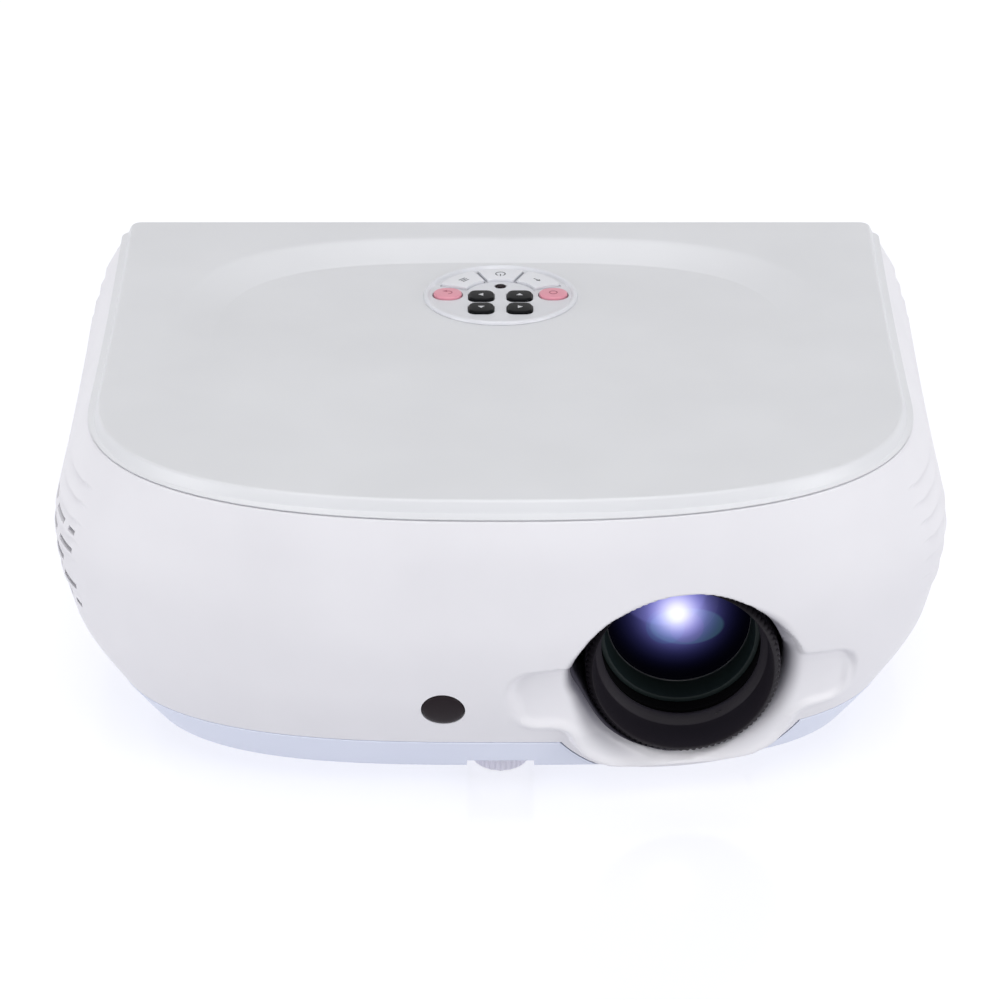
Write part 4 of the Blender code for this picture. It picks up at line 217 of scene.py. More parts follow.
# Pink keys with a soft-touch coating: an even sheen, no sharp highlight
KEY_PINK = moulded_plastic("coated_abs_key_pink", "#D78D9E", "#DB95A5", 0.38, 0.3, 0.003)
# Black keys: dense black ABS with a satin top
KEY_BLACK = moulded_plastic("moulded_abs_key_black", "#08090C", "#0B0C0F", 0.36, 0.3, 0.003, 0.06)
# The focus ring: matt black ABS, which only shows a faint violet-grey bloom
RING_BLACK = moulded_plastic("matt_abs_ring_black", "#1B181D", "#1F1C21", 0.55, 0.3, 0.01, 0.16)
# The step inside the ring: the same ABS, coloured a shade greyer than the ring's face
STEP_BLACK = moulded_plastic("matt_abs_ring_step_grey", "#2B282D", "#302D32", 0.5, 0.3, 0.006, 0.3)
# The grip's teeth: the ring's black ABS coloured a lighter grey, a painted highlight that lets them show
# against the dark gap, with a greyer, broken gleam
KNURL_HIGHLIGHT_GREY = moulded_plastic("abs_ring_teeth_painted_highlight", "#3A383E", "#55535A", 0.38, 0.6, 0.02, 0.4)
# The barrel is flocked inside: a deep black that gives back almost no light
BARREL_BLACK = moulded_plastic("flocked_abs_barrel_black", "#08080A", "#0B0B0D", 0.85, 0.25, 0.02, 0.05)
# The foot's knob: satin ABS with a pale lilac cast
KNOB_LILAC = moulded_plastic("moulded_abs_knob_pale_lilac", "#EDEBFA", "#F1EFFC", 0.38)
# The sleeve in the opening: black ABS coloured a lighter violet grey, a painted shade for the dark gap beside
# the ring, rough from the mould
SLEEVE_SHADE_VIOLET = moulded_plastic("moulded_abs_sleeve_painted_shade", "#3F3C49", "#45424F", 0.6, 0.4, 0.01)
# The rear panel and the hidden plastic parts: plain black ABS with a dull sheen
INNER_BLACK = moulded_plastic("moulded_abs_inner_black", "#141417", "#18181B", 0.5, specular=0.3)
# The baffle: black anodised aluminium, its green cast a painted reflection of the lens coating, with a fine
# blasted grain and soft gleams
BAFFLE_GREEN_REFLECTION = moulded_plastic("baffle_black_painted_green_reflection", "#202A2A", "#263131", 0.4, 0.3, 0.004, 0.2)
# The lip that holds the glass: turned and lightly polished, so its edge gleams as one thin grey line
BEZEL_METAL = moulded_plastic("turned_edge_grey", "#54565A", "#5C5E62", 0.3, 0.3, 0.002, 0.6)
# Printed inks on the keys: flat and matt, with next to no thickness
PRINT_GREY = moulded_plastic("printed_ink_grey", "#5E6066", "#66686E", 0.6, 0.2, 0.001)
PRINT_ROSE = moulded_plastic("printed_ink_rose", "#A45C6C", "#AA6272", 0.6, 0.2, 0.001)
PRINT_WHITE = moulded_plastic("printed_ink_white", "#C9CACE", "#D0D1D5", 0.6, 0.2, 0.001)
# Dark acrylic that passes infrared: nearly black with a brown cast and a clean gloss
DARK_GLOSS = moulded_plastic("moulded_acrylic_dark_brown", "#231C20", "#282125", 0.12, 0.3, 0.0005, 0.08)


def glass_with_painted_reflection():
    """Optical glass with an anti-reflection coating over a dark barrel: nearly black, with a painted
    reflection that glows by emission:
    the studio lamp as a white core in a blue-violet bloom and four faint ghosts, as the inner elements would
    throw it back."""
    material, tree, shader, place = surface(
        "coated_glass_painted_reflection",
        {
            "Roughness": 0.05, "IOR": 1.52, "Specular IOR Level": 0.06, "Base Color": linear("#04040A"),
            "Emission Strength": 1.0,
        },
    )

    def painted_bloom(x, z, across, upward, stops, blend):
        """Rings of painted light round a spot on the glass, all in millimetres from the lens axis."""
        x, z, across, upward = x / 1000, z / 1000, across / 1000, upward / 1000
        frame_of_spot = {
            "Vector": place, "Scale": (1 / across, 0.0, 1 / upward),
            "Location": (-(LENS_X + x) / across, 0.0, -(LENS_Z + z) / upward),
        }
        spot = add_node(tree, "Mapping", frame_of_spot).outputs["Vector"]
        far = add_node(tree, "VectorMath", {0: spot}, operation="LENGTH").outputs["Value"]
        return colour_ramp(tree, far, stops, blend)

    # The painted reflection of the lamp: a white core through blue-violet to black
    glow = (
        (0.0, "#FFFFFF"), (0.07, "#FFFFFF"), (0.15, "#D2D0FF"), (0.25, "#8F8ED8"), (0.36, "#50508E"),
        (0.5, "#25254E"), (0.64, "#0E0E26"), (0.76, "#03030C"), (0.88, "#010104"), (1.0, "#010104"),
    )
    whole = painted_bloom(-0.6, 3.4, 21.0, 21.5, glow, "B_SPLINE")
    # Each painted ghost reflection: its place, half-width and half-height, its colour at the rim and in the
    # middle
    painted_ghosts = (
        (1.9, -0.5, 9.6, 5.4, "#203C3C", "#182A2C"), (-4.3, 9.2, 11.5, 9.8, "#2E2E50", "#303054"),
        (1.9, -0.8, 4.4, 4.6, "#2A1030", "#301434"), (-3.4, -0.6, 5.0, 5.2, "#04282E", "#042228"),
    )
    for x, z, across, upward, rim, middle in painted_ghosts:
        stops = ((0.0, middle), (0.9, rim), (0.98, "#000000"), (1.0, "#000000"))
        both = {0: whole, 1: painted_bloom(x, z, across, upward, stops, "LINEAR")}
        whole = add_node(tree, "VectorMath", both, operation="ADD").outputs["Vector"]
    tree.links.new(whole, shader.inputs["Emission Color"])
    relief(tree, shader, blotches(tree, place, 12.0), 0.001)
    return material


GLASS_WITH_PAINTED_REFLECTION = glass_with_painted_reflection()


# Small shape helpers
def step_smooth(value):
    """A soft step from 0 to 1."""
    value = min(max(value, 0.0), 1.0)
    return value * value * (3 - 2 * value)


def rolled(distance, radius):
    """How far a rounded edge falls away at this distance from it."""
    if distance >= radius:
        return 0.0
    reach = min(radius - distance, radius)
    return radius - math.sqrt(radius * radius - reach * reach)


def polar(reach, turn, x=0.0, y=0.0):
    """The point at this reach and turn from a centre."""
    return x + reach * math.cos(turn), y + reach * math.sin(turn)


def as_mesh(name, shape):
    """A mesh made from a shape, which it uses up."""
    mesh = bpy.data.meshes.new(name)
    shape.to_mesh(mesh)
    shape.free()
    return mesh


def placed(name, data):
    """A new object in the scene."""
    thing = bpy.data.objects.new(name, data)
    bpy.context.scene.collection.objects.link(thing)
    return thing


def piece_from(name, shape, material, body, replaces=(), angle=32):
    """Finishes a shape as a piece that rides on a body and stands for its nodes."""
    mesh = as_mesh(name, shape)
    mesh.shade_smooth()
    mesh.set_sharp_from_angle(angle=math.radians(angle))
    mesh.materials.append(material)
    piece = placed(name, mesh)
    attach(piece, body)
    if replaces:
        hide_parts(*replaces)
    return piece


def moved(shape, matrix):
    """The shape, moved by a matrix."""
    bmesh.ops.transform(shape, matrix=matrix, verts=shape.verts)
    return shape


def bent_grid(table):
    """A sheet through rows of points: a flat grid is bent onto them, and its meeting edges are joined."""
    rows, columns = len(table), len(table[0])
    shape = bmesh.new()
    bmesh.ops.create_grid(shape, x_segments=columns - 1, y_segments=rows - 1, size=0.5)
    for vertex in shape.verts:
        column = round((vertex.co.x + 0.5) * (columns - 1))
        row = round((vertex.co.y + 0.5) * (rows - 1))
        vertex.co = table[row][column]
    bmesh.ops.remove_doubles(shape, verts=shape.verts, dist=MERGE)
    bmesh.ops.dissolve_degenerate(shape, edges=shape.edges, dist=MERGE)
    bmesh.ops.recalc_face_normals(shape, faces=shape.faces)
    return shape


def lathe(profile, steps, matrix):
    """Spins a closed profile of (radius, height) about local Z."""
    shape = bmesh.new()
    corners = [shape.verts.new((radius, 0.0, height)) for radius, height in profile]
    edges = [shape.edges.new(pair) for pair in zip(corners, corners[1:])]
    if profile[0][0] > 0 and profile[-1][0] > 0:
        edges.append(shape.edges.new((corners[-1], corners[0])))
    bmesh.ops.spin(
        shape, geom=corners + edges, cent=(0, 0, 0), axis=(0, 0, 1), angle=math.tau, steps=steps,
        use_merge=True,
    )
    bmesh.ops.remove_doubles(shape, verts=shape.verts, dist=MERGE)
    bmesh.ops.recalc_face_normals(shape, faces=shape.faces)
    return moved(shape, matrix)


def fluted(profile, teeth, depth, matrix, sharpness=1):
    """A turned form with teeth: its profile has a radius, a height and a share of the teeth's depth."""
    table = []
    for radius, height, share in profile:
        row = []
        for step in range(teeth * TOOTH_POINTS + 1):
            turn = math.tau * step / (teeth * TOOTH_POINTS)
            wave = 0.5 - 0.5 * math.cos(teeth * turn)
            size = max(radius - depth * share * wave**sharpness, 0.0)
            row.append(matrix @ Vector((*polar(size, turn), height)))
        table.append(row)
    return bent_grid(table)


def slab(outline, low, high, matrix=None):
    """A flat outline pulled up between two heights."""
    shape = bmesh.new()
    face = shape.faces.new([shape.verts.new((x, y, low)) for x, y in outline])
    lifted = bmesh.ops.extrude_face_region(shape, geom=[face])["geom"]
    verts = [item for item in lifted if isinstance(item, bmesh.types.BMVert)]
    bmesh.ops.translate(shape, verts=verts, vec=(0, 0, high - low))
    bmesh.ops.recalc_face_normals(shape, faces=shape.faces)
    return moved(shape, matrix) if matrix else shape


def soften(shape, edges, offset, segments):
    """Rounds edges."""
    bmesh.ops.bevel(
        shape, geom=edges, offset=offset, segments=segments, profile=0.5, affect="EDGES", material=-1,
        clamp_overlap=True,
    )


def edges_along(shape, axis, least):
    """The edges that run further than this along an axis."""
    return [edge for edge in shape.edges if abs(edge.verts[0].co[axis] - edge.verts[1].co[axis]) > least]


def block(low, high):
    """A box between two corners."""
    shape = bmesh.new()
    low, high = Vector(low), Vector(high)
    place = Matrix.Translation((low + high) / 2) @ Matrix.Diagonal((*(high - low), 1.0))
    bmesh.ops.create_cube(shape, size=1.0, matrix=place)
    return shape


def rod(start, length, radius, steps, axis="Y"):
    """A cylinder from start along +Y or +Z."""
    shape = bmesh.new()
    turn = Matrix.Rotation(math.radians(-90), 4, "X") if axis == "Y" else Matrix.Identity(4)
    place = Matrix.Translation(start) @ turn @ Matrix.Translation((0, 0, length / 2))
    bmesh.ops.create_cone(
        shape, cap_ends=True, segments=steps, radius1=radius, radius2=radius, depth=length, matrix=place
    )
    return shape


def joined(*shapes):
    """Several shapes as one."""
    whole = bmesh.new()
    for part in shapes:
        mesh = as_mesh("joining", part)
        whole.from_mesh(mesh)
        bpy.data.meshes.remove(mesh)
    return whole


def carved(shape, tools, solver="EXACT"):
    """The shape with each tool taken away from it."""
    piece = placed("carving", as_mesh("carving", shape))
    helpers = [placed("carving tool", as_mesh("carving tool", tool)) for tool in tools]
    for helper in helpers:
        modifier = piece.modifiers.new("carve", "BOOLEAN")
        modifier.operation, modifier.solver, modifier.object = "DIFFERENCE", solver, helper
    bpy.context.view_layer.update()
    result = bpy.data.meshes.new_from_object(piece.evaluated_get(bpy.context.evaluated_depsgraph_get()))
    done = bmesh.new()
    done.from_mesh(result)
    meshes = [result] + [item.data for item in (piece, *helpers)]
    for item in (piece, *helpers):
        bpy.data.objects.remove(item)
    for mesh in meshes:
        bpy.data.meshes.remove(mesh)
    return done


# The surface of the case
def eased(place, stations, values):
    """A smooth, monotone curve through values at the stations."""
    last = len(stations) - 1
    slopes = [(values[i + 1] - values[i]) / (stations[i + 1] - stations[i]) for i in range(last)]
    grades = [slopes[0]]
    for before, after in zip(slopes, slopes[1:]):
        grades.append(2 * before * after / (before + after) if before * after > 0 else 0.0)
    grades.append(slopes[-1])
    place = min(max(place, stations[0]), stations[-1])
    index = 0
    while index < last - 1 and place > stations[index + 1]:
        index += 1
    span = stations[index + 1] - stations[index]
    share = (place - stations[index]) / span
    rest = 1 - share
    return (
        (1 + 2 * share) * rest * rest * values[index]
        + share * rest * rest * span * grades[index]
        + share * share * (3 - 2 * share) * values[index + 1]
        - share * share * rest * span * grades[index + 1]
    )


def section_sizes(z, inset=0.0):
    """Half the width, the corner's depth and the curve's power at this height."""
    share = (z - FOOT_HEIGHT) / SHELL_HEIGHT
    half = HALF_WIDTH * eased(share, STATIONS, WIDTHS) - inset
    depth = CORNER_DEPTH * eased(share, STATIONS, DEPTHS) - inset
    return half, depth, eased(share, STATIONS, POWERS)


def flare(y):
    """How far the side has swung out towards the back."""
    share = (y - SIDE_START_Y) / (BACK_Y - SIDE_START_Y)
    return BACK_FLARE * share * share


def front_y(x, z, inset=0.0):
    """The front surface above a point of the ground line."""
    half, depth, power = section_sizes(z, inset)
    share = min(abs(x) / half, 1.0)
    return SIDE_START_Y - depth * (1 - share**power) ** (1 / power)


def side_x(y, z):
    """How far out the side lies here."""
    half, depth, power = section_sizes(z)
    if y >= SIDE_START_Y:
        return half + flare(y)
    share = min((SIDE_START_Y - y) / depth, 1.0)
    return half * (1 - share**power) ** (1 / power)


def half_plan(z, turns, steps, inset):
    """The right half of a level section, from the middle of the front to the middle of the back."""
    half, depth, power = section_sizes(z, inset)
    points = [
        (half * math.sin(turn) ** (2 / power), SIDE_START_Y - depth * max(math.cos(turn), 0.0) ** (2 / power))
        for turn in turns
    ]
    radius = max(REAR_CORNER - inset, REAR_CORNER / 4)
    corner_y = BACK_Y - inset - radius
    side_steps, corner_steps, back_steps = steps
    for step in range(1, side_steps + 1):
        y = SIDE_START_Y + (corner_y - SIDE_START_Y) * step / side_steps
        points.append((half + flare(y), y))
    corner_x = points[-1][0] - radius
    for step in range(1, corner_steps + 1):
        points.append(polar(radius, math.pi / 2 * step / corner_steps, corner_x, corner_y))
    for step in range(1, back_steps + 1):
        points.append((corner_x * (1 - step / back_steps), BACK_Y - inset))
    return points


def plan(z, turns, steps, inset=0.0, ridge=0.0):
    """A whole level section from the middle of the back, round by the right side, and back to it."""
    right, left = (half_plan(z, half, steps, inset) for half in turns)
    ring = right[::-1] + [(-x, y) for x, y in left[1:]]
    if not ridge:
        return ring
    pushed = list(ring)
    for index in range(1, len(ring) - 1):
        x, y = ring[index]
        if FRONT_Y + LOUVRE_START <= y <= BACK_Y - REAR_CORNER / 4:
            out = ridge * step_smooth((y - FRONT_Y - LOUVRE_START) / LOUVRE_FADE)
            along = (Vector(ring[index + 1]) - Vector(ring[index - 1])).normalized()
            pushed[index] = (x - out * along.y, y + out * along.x)
    return pushed


def level(z, section, inset, turns, steps):
    """The case's section at one height as a row of points, set at height z."""
    return [Vector((x, y, z)) for x, y in plan(section, turns, steps, inset)]


def even_turns(steps):
    """Turns spread evenly round the front curve, for both halves of a section."""
    turns = [math.pi / 2 * step / steps for step in range(steps + 1)]
    return turns, turns


def spaced_turns(marks, corner_steps=24):
    """Turns that pass these distances from the middle, then run evenly round the corner."""
    turns = [math.asin((mark / HALF_WIDTH) ** 1.2) for mark in marks]
    last = turns[-1]
    return turns + [last + (math.pi / 2 - last) * step / corner_steps for step in range(1, corner_steps + 1)]


def ridge_height(z):
    """How far the louvre that starts at the line below stands out here."""
    for number, line in enumerate(LOUVRE_LINES):
        pitch = LOUVRE_PITCH if number else UPPER_SEAM_Z - line
        above = z - line + SEAM
        if 0 <= above < pitch:
            rise = step_smooth(above / (2 * SEAM))
            return LOUVRE_STEP * (rise if above < 2 * SEAM else 1 - (above - 2 * SEAM) / (pitch - 2 * SEAM))
    return 0.0


# The moulded surround of the lens
def surround_outline():
    """Its outline round both wings and the apron, with rounded corners, then over the opening."""
    shares = (
        (-0.64, 0.25, 0.04), (-1.0, 0.17, 0.27), (-0.94, -0.53, 0.24), (-0.65, -0.53, 0.16),
        (-0.56, -1.0, 0.45), (0.56, -1.0, 0.45), (0.66, -0.57, 0.16), (0.97, -0.57, 0.24),
        (1.0, 0.04, 0.24), (0.68, 0.14, 0.04),
    )
    corners = [
        (LENS_X + across * WING_REACH, LENS_Z + up * SURROUND_RADIUS, corner * SURROUND_RADIUS)
        for across, up, corner in shares
    ]
    for turn, reach in ((19, 27.6), (26, 26.7), (34, 26.0), (43, 25.5), (53, 25.2), (66, 24.6)):
        corners.append((*polar(reach / 1000, math.radians(turn), LENS_X, LENS_Z), 0))
    outline = []
    for index, (x, y, radius) in enumerate(corners):
        if radius == 0:
            outline.append((x, y))
            continue
        corner = Vector((x, y))
        before = (Vector(corners[index - 1][:2]) - corner).normalized()
        after = (Vector(corners[(index + 1) % len(corners)][:2]) - corner).normalized()
        half_angle = before.angle(after) / 2
        centre = corner + (before + after).normalized() * radius / math.sin(half_angle)
        start = corner + before * radius / math.tan(half_angle) - centre
        sweep = start.angle_signed(corner + after * radius / math.tan(half_angle) - centre)
        for step in range(9):
            arm = start.copy()
            arm.rotate(Matrix.Rotation(-sweep * step / 8, 2))
            outline.append(tuple(centre + arm))
    return outline


SURROUND = surround_outline()
SURROUND_SIDES = [(a, b, b[0] - a[0], b[1] - a[1]) for a, b in zip(SURROUND, SURROUND[1:] + SURROUND[:1])]


def into_surround(x, z):
    """The distance from the surround's outline: positive inside it."""
    nearest, inside = 1.0, False
    for (ax, az), (_, bz), dx, dz in SURROUND_SIDES:
        share = min(max(((x - ax) * dx + (z - az) * dz) / (dx * dx + dz * dz), 0.0), 1.0)
        nearest = min(nearest, (x - ax - share * dx) ** 2 + (z - az - share * dz) ** 2)
        if (az > z) != (bz > z) and x < ax + (z - az) / (bz - az) * dx:
            inside = not inside
    return math.sqrt(nearest) * (1 if inside else -1)


def by_turn(turn, turns, values):
    """A value from a table by degrees round the lens, at a turn in radians."""
    turn = math.degrees(turn) % 360
    return eased(turn - 360 if turn > 270 else turn, turns, values)


def opening_reach(turn):
    """How far the opening reaches from the lens axis at this turn."""
    return by_turn(turn, OPENING_TURNS, OPENING_REACH) / 1000


def surround_y(x, y, z):
    """The front surface with the scooped surround moulded into it and its edge rolled into the opening."""
    depth = into_surround(x, z)
    lower = step_smooth((LENS_Z - 0.002 - z) / 0.006)
    if depth > -0.0006:
        # The floor lies 1.2 mm deep and leans less than the case; a hollow runs along the wings
        middle = LENS_Z - 0.005
        floor = front_y(x, middle + (z - middle) * 0.4, 0.0012)
        height = min(max((z - LENS_Z + 0.015) / 0.018, 0.0), 1.0)
        floor += 0.004 * height * (1 - height) * step_smooth(depth / 0.004)
        # The step down to the floor is sharper above and below, where a soft lip also stands out
        sharper = max(lower, step_smooth((z - LENS_Z - 0.004) / 0.003))
        y += (floor - y) * step_smooth((depth + 0.0006) / (0.0024 - 0.0008 * sharper))
        y -= 0.0007 * lower * math.exp(-(((depth - 0.0016) / 0.0011) ** 2))
    reach = math.hypot(x - LENS_X, z - LENS_Z)
    if reach > 0.04:
        return y
    # Round the opening the edge rolls in: hardly above it, more beside it and most at its right
    up, across = (z - LENS_Z) / max(reach, 0.001), (x - LENS_X) / max(reach, 0.001)
    right = 0.5 + 0.5 * across
    above = step_smooth((up + 0.05 - 0.15 * right) / 0.3)
    below = step_smooth((-up - 0.35) / 0.5)
    beside = (1 - above) * (1 - below)
    fall = 0.0003 * above + (0.0028 + 0.002 * right) * beside + 0.0029 * below
    width = 0.0004 * above + (0.0028 + 0.0032 * right) * beside + 0.0075 * below
    edge = reach - opening_reach(math.atan2(z - LENS_Z, x - LENS_X))
    return y + rolled(max(edge, 0.0), width) * fall / width + min(2.5 * max(-edge, 0.0), 0.0022)


def seam_distance(x, y, z):
    """How far inside the housing's lower edge a point lies, the round apron under the lens included."""
    above = z - LOWER_SEAM_Z
    if y >= APRON_BACK_Y:
        return above
    return max(above, APRON_RADIUS - math.hypot(x - LENS_X, z - LENS_Z))


def case_heights():
    """The heights of the shell's rows: close together at the seams, the surround and the louvres' steps."""
    heights = [FOOT_HEIGHT + 0.0005 * i for i in range(20)] + [0.017, 0.0171, 0.0172, 0.0173, 0.0175]
    heights += [0.018 + 0.0005 * i for i in range(47)]
    steps = (-0.0003, -0.0001, 0.0001, 0.0003, 0.0008, 0.0014, 0.002, 0.0026, 0.0032, 0.0038, 0.0043)
    heights += [line + step for line in reversed(LOUVRE_LINES) for step in steps]
    heights += [LOUVRE_LINES[0] + steps[-1] + 0.0006 * i for i in range(1, 7)]
    return heights + [0.0803, 0.0806, 0.0808, 0.0809, UPPER_SEAM_Z]


def outer_point(x, y, z):
    """A point of the outer skin: surround, rounded edges and chin worked into the plain section."""
    seam = seam_distance(x, y, z)
    if x > -0.002 and y < -0.02 and z < 0.0665:
        y = surround_y(x, y, z)
    chin = max(1 - ((x - LENS_X) / CHIN_HALF_WIDTH) ** 2, 0.0) if y < -0.04 else 0.0
    drop = rolled(seam, 0.00025) + rolled(UPPER_SEAM_Z - z, 0.0003)
    drop += rolled(z - FOOT_HEIGHT, UNDER_ROUND + CHIN_ROUND * chin)
    if drop:
        outward = Vector((x / HALF_WIDTH, y / BACK_Y))
        outward = Vector((outward.x**3, outward.y**3)).normalized() if outward.length else outward
        x, y = x - outward.x * drop, y - outward.y * drop
    share = min(max((LOWER_SEAM_Z - z) / (LOWER_SEAM_Z - FOOT_HEIGHT), 0.0), 1.0)
    return Vector((x, y, z - CHIN_DROP * chin * share))


def inner_point(x, y, z):
    """A point of the inner skin, which lies deeper behind the lens surround."""
    near_lens = 0.0032 * step_smooth(x / 0.008) + 0.0058 * step_smooth((0.037 - abs(x - LENS_X)) / 0.006)
    deeper = near_lens * step_smooth((-0.02 - y) / 0.02)
    return Vector((x * (1 - deeper * 2), y + deeper, z))


def case_table():
    """Rows of the shell: up the outer skin, down the inner one and back to the start."""
    lens_marks = [0.001 * i for i in range(13)] + [0.012 + 0.00055 * i for i in range(1, 146)]
    turns, steps = (spaced_turns(lens_marks), spaced_turns([0.0024 * i for i in range(39)])), (34, 6, 14)
    table = []
    for z in case_heights():
        ridge = ridge_height(z) - LOUVRE_SINK if LOUVRE_LINES[-1] - SEAM < z < UPPER_SEAM_Z - SEAM else 0.0
        table.append([outer_point(x, y, z) for x, y in plan(z, turns, steps, ridge=ridge)])
    for z in (UPPER_SEAM_Z, 0.066, 0.052, 0.036, 0.02, FOOT_HEIGHT):
        table.append([inner_point(x, y, z) for x, y in plan(z, turns, steps, WALL)])
    return table + table[:1]


def ir_place():
    """The infrared window's place: local Z points out of the case."""
    rise = 0.0025
    lean = (front_y(IR_X, IR_Z + rise) - front_y(IR_X, IR_Z - rise)) / (2 * rise)
    swing = (front_y(IR_X + rise, IR_Z) - front_y(IR_X - rise, IR_Z)) / (2 * rise)
    outward = Vector((swing, -1.0, lean)).normalized().to_track_quat("Z", "Y").to_matrix().to_4x4()
    return Matrix.Translation((IR_X, front_y(IR_X, IR_Z), IR_Z)) @ outward


def vent_slots():
    """The air slots between the louvres, laid like bricks, each turned to follow the side."""
    shape = bmesh.new()
    reach = 0.00475
    for side, start, count in SLOT_SIDES:
        for row in range(2, 7):
            z = SLOT_TOP_Z - LOUVRE_PITCH * (row + 0.5)
            shifted = 0.0 if row % 2 else SLOT_PITCH / 2
            slots = [(start + shifted + SLOT_PITCH * index, SLOT_LENGTH) for index in range(count)]
            if row in (2, 6):
                slots.append((start - SHORT_SLOT_AHEAD, SHORT_SLOT))
            for from_front, length in slots:
                y = FRONT_Y + from_front
                turn = math.atan2(side_x(y + reach, z) - side_x(y - reach, z), 2 * reach)
                place = Matrix.Translation((side * side_x(y, z), y, z))
                place @= Matrix.Rotation(-side * turn, 4, "Z")
                place @= Matrix.Diagonal((SLOT_CUT, length, SLOT_HEIGHT, 1.0))
                bmesh.ops.create_cube(shape, size=1.0, matrix=place)
    return shape


def lens_shelf():
    """The ledge that closes the apron behind its lower edge."""
    half_width, back_y = 0.0188, -0.0556
    outline = [
        (x, front_y(x, FOOT_HEIGHT, 0.0016))
        for x in (LENS_X + half_width * (step / 12 - 1) for step in range(25))
    ]
    outline += [(LENS_X + half_width, back_y), (LENS_X - half_width, back_y)]
    return slab(outline, FOOT_HEIGHT + 0.0002, FOOT_HEIGHT + 0.0022)


def make_case_shell():
    """The main housing, with the painted shade beside the focus ring written on its points."""
    below = block((-0.2, -0.2, -0.02), (0.2, 0.2, LOWER_SEAM_Z))
    below = carved(below, [rod((LENS_X, -0.3, LENS_Z), 0.3 + APRON_BACK_Y, APRON_RADIUS, 160)])
    turns = [math.tau * step / 160 for step in range(160)]
    opening = [polar(opening_reach(turn), turn, LENS_X, LENS_Z) for turn in turns]
    bore = slab(opening, 0.055, 0.1, Matrix.Rotation(math.radians(90), 4, "X"))
    window = moved(rod((0, 0, -0.008), 0.016, IR_HOLE, 64, "Z"), ir_place())
    rear = block((-REAR_HALF_WIDTH, 0.07, REAR_LOW_Z), (REAR_HALF_WIDTH, 0.1, REAR_HIGH_Z))
    soften(rear, edges_along(rear, 1, 0.01), 0.004, 6)
    shell = carved(bent_grid(case_table()), [below, bore, window, rear, vent_slots()], "MANIFOLD")
    whole = joined(shell, lens_shelf())
    piece = piece_from("case_shell", whole, CASE_WHITE, "case", ["main_housing"])
    # Each point near the opening gets its share of the painted shade
    shade = piece.data.attributes.new("painted_gap_shade", "FLOAT", "POINT")
    for index, vertex in enumerate(piece.data.vertices):
        x, z = vertex.co.x - LENS_X, vertex.co.z - LENS_Z
        if vertex.co.y > -0.05 or math.hypot(x, z) > 0.036:
            continue
        turn = math.atan2(z, x)
        edge = 1000 * (math.hypot(x, z) - opening_reach(turn))
        fade = step_smooth(edge / by_turn(turn, SHADE_TURNS, SHADE_WIDTH))
        shade.data[index].value = by_turn(turn, SHADE_TURNS, SHADE_DEPTH) * (1 - fade)


def make_lens_sleeve():
    """The black sleeve behind the opening, coloured violet grey as a painted shade of the gap beside the
    ring.
    """
    rows = []
    # Each row: how far outside the opening, and how far behind its edge, or None for the sleeve's rear end
    for room, behind in ((-0.0001, 0.0012), (-0.0001, None), (0.0026, None), (0.0026, 0.0036)):
        row = []
        for step in range(121):
            turn = math.tau * step / 120
            reach = opening_reach(turn)
            edge_x, edge_z = polar(reach, turn, LENS_X, LENS_Z)
            x, z = polar(reach + room, turn, LENS_X, LENS_Z)
            edge_y = surround_y(edge_x, front_y(edge_x, edge_z), edge_z)
            row.append(Vector((x, SLEEVE_BACK_Y if behind is None else edge_y + behind, z)))
        rows.append(row)
    piece_from("lens_sleeve", bent_grid(rows + rows[:1]), SLEEVE_SHADE_VIOLET, "case")


# Top plate with its dish
def dish_reach(x, y):
    """The share of the way from the dish's middle to its rim."""
    across, back = abs(x) / DISH_HALF_WIDTH, max(y - DISH_CENTRE_Y, 0.0) / DISH_REACH_BACK
    return (across**DISH_POWER + back**DISH_POWER) ** (1 / DISH_POWER)


def wall_share(inside):
    """How far down the dish's wall lies: a soft brow, a straight slope and a tight foot."""
    brow, foot = 0.18, 0.96
    slope = 1 / (foot - brow / 2 + (1 - foot) / 2)
    inside = min(max(inside, 0.0), 1.0)
    if inside < brow:
        return slope * inside * inside / (2 * brow)
    if inside < foot:
        return slope * (inside - brow / 2)
    return 1 - slope * (1 - inside) ** 2 / (2 * (1 - foot))


def dish_drop(x, y):
    """How far the top is dished here."""
    run = (y - DISH_FRONT_Y) / DISH_RUN
    if run <= 0:
        return 0.0
    ramp = run * run / (2 * DISH_EASE) if run < DISH_EASE else run - DISH_EASE / 2
    inside = (1 - dish_reach(x, y)) * DISH_HALF_WIDTH / DISH_BAND
    return DISH_DEPTH * ramp / (1 - DISH_EASE / 2) * wall_share(inside)


# The keypad's place: its middle on the dish floor, local Z square to that floor
PANEL_Y = BACK_Y - 0.0438
PANEL_TILT = Matrix.Rotation(-math.atan(DISH_DEPTH / (DISH_RUN * (1 - DISH_EASE / 2))), 4, "X")
PANEL_PLACE = Matrix.Translation((0, PANEL_Y, BODY_HEIGHT - dish_drop(0.0, PANEL_Y))) @ PANEL_TILT
LAMP_PLACE = PANEL_PLACE @ Matrix.Translation((0, LAMP_Y, 0))


def top_ring(outline, into_band, toward_middle, lowered=0.0):
    """A ring of the top: this far into the dish's wall, and this share of the way out from the middle."""
    row = []
    between = 1 - into_band * DISH_BAND / DISH_HALF_WIDTH
    for x, y in outline:
        edge = 1 / max(dish_reach(x, y), 0.04)
        share = between * toward_middle * min(edge, 0.985)
        px, py = x * share, DISH_CENTRE_Y + (y - DISH_CENTRE_Y) * share
        row.append(Vector((px, py, BODY_HEIGHT - dish_drop(px, py) - lowered)))
    return row


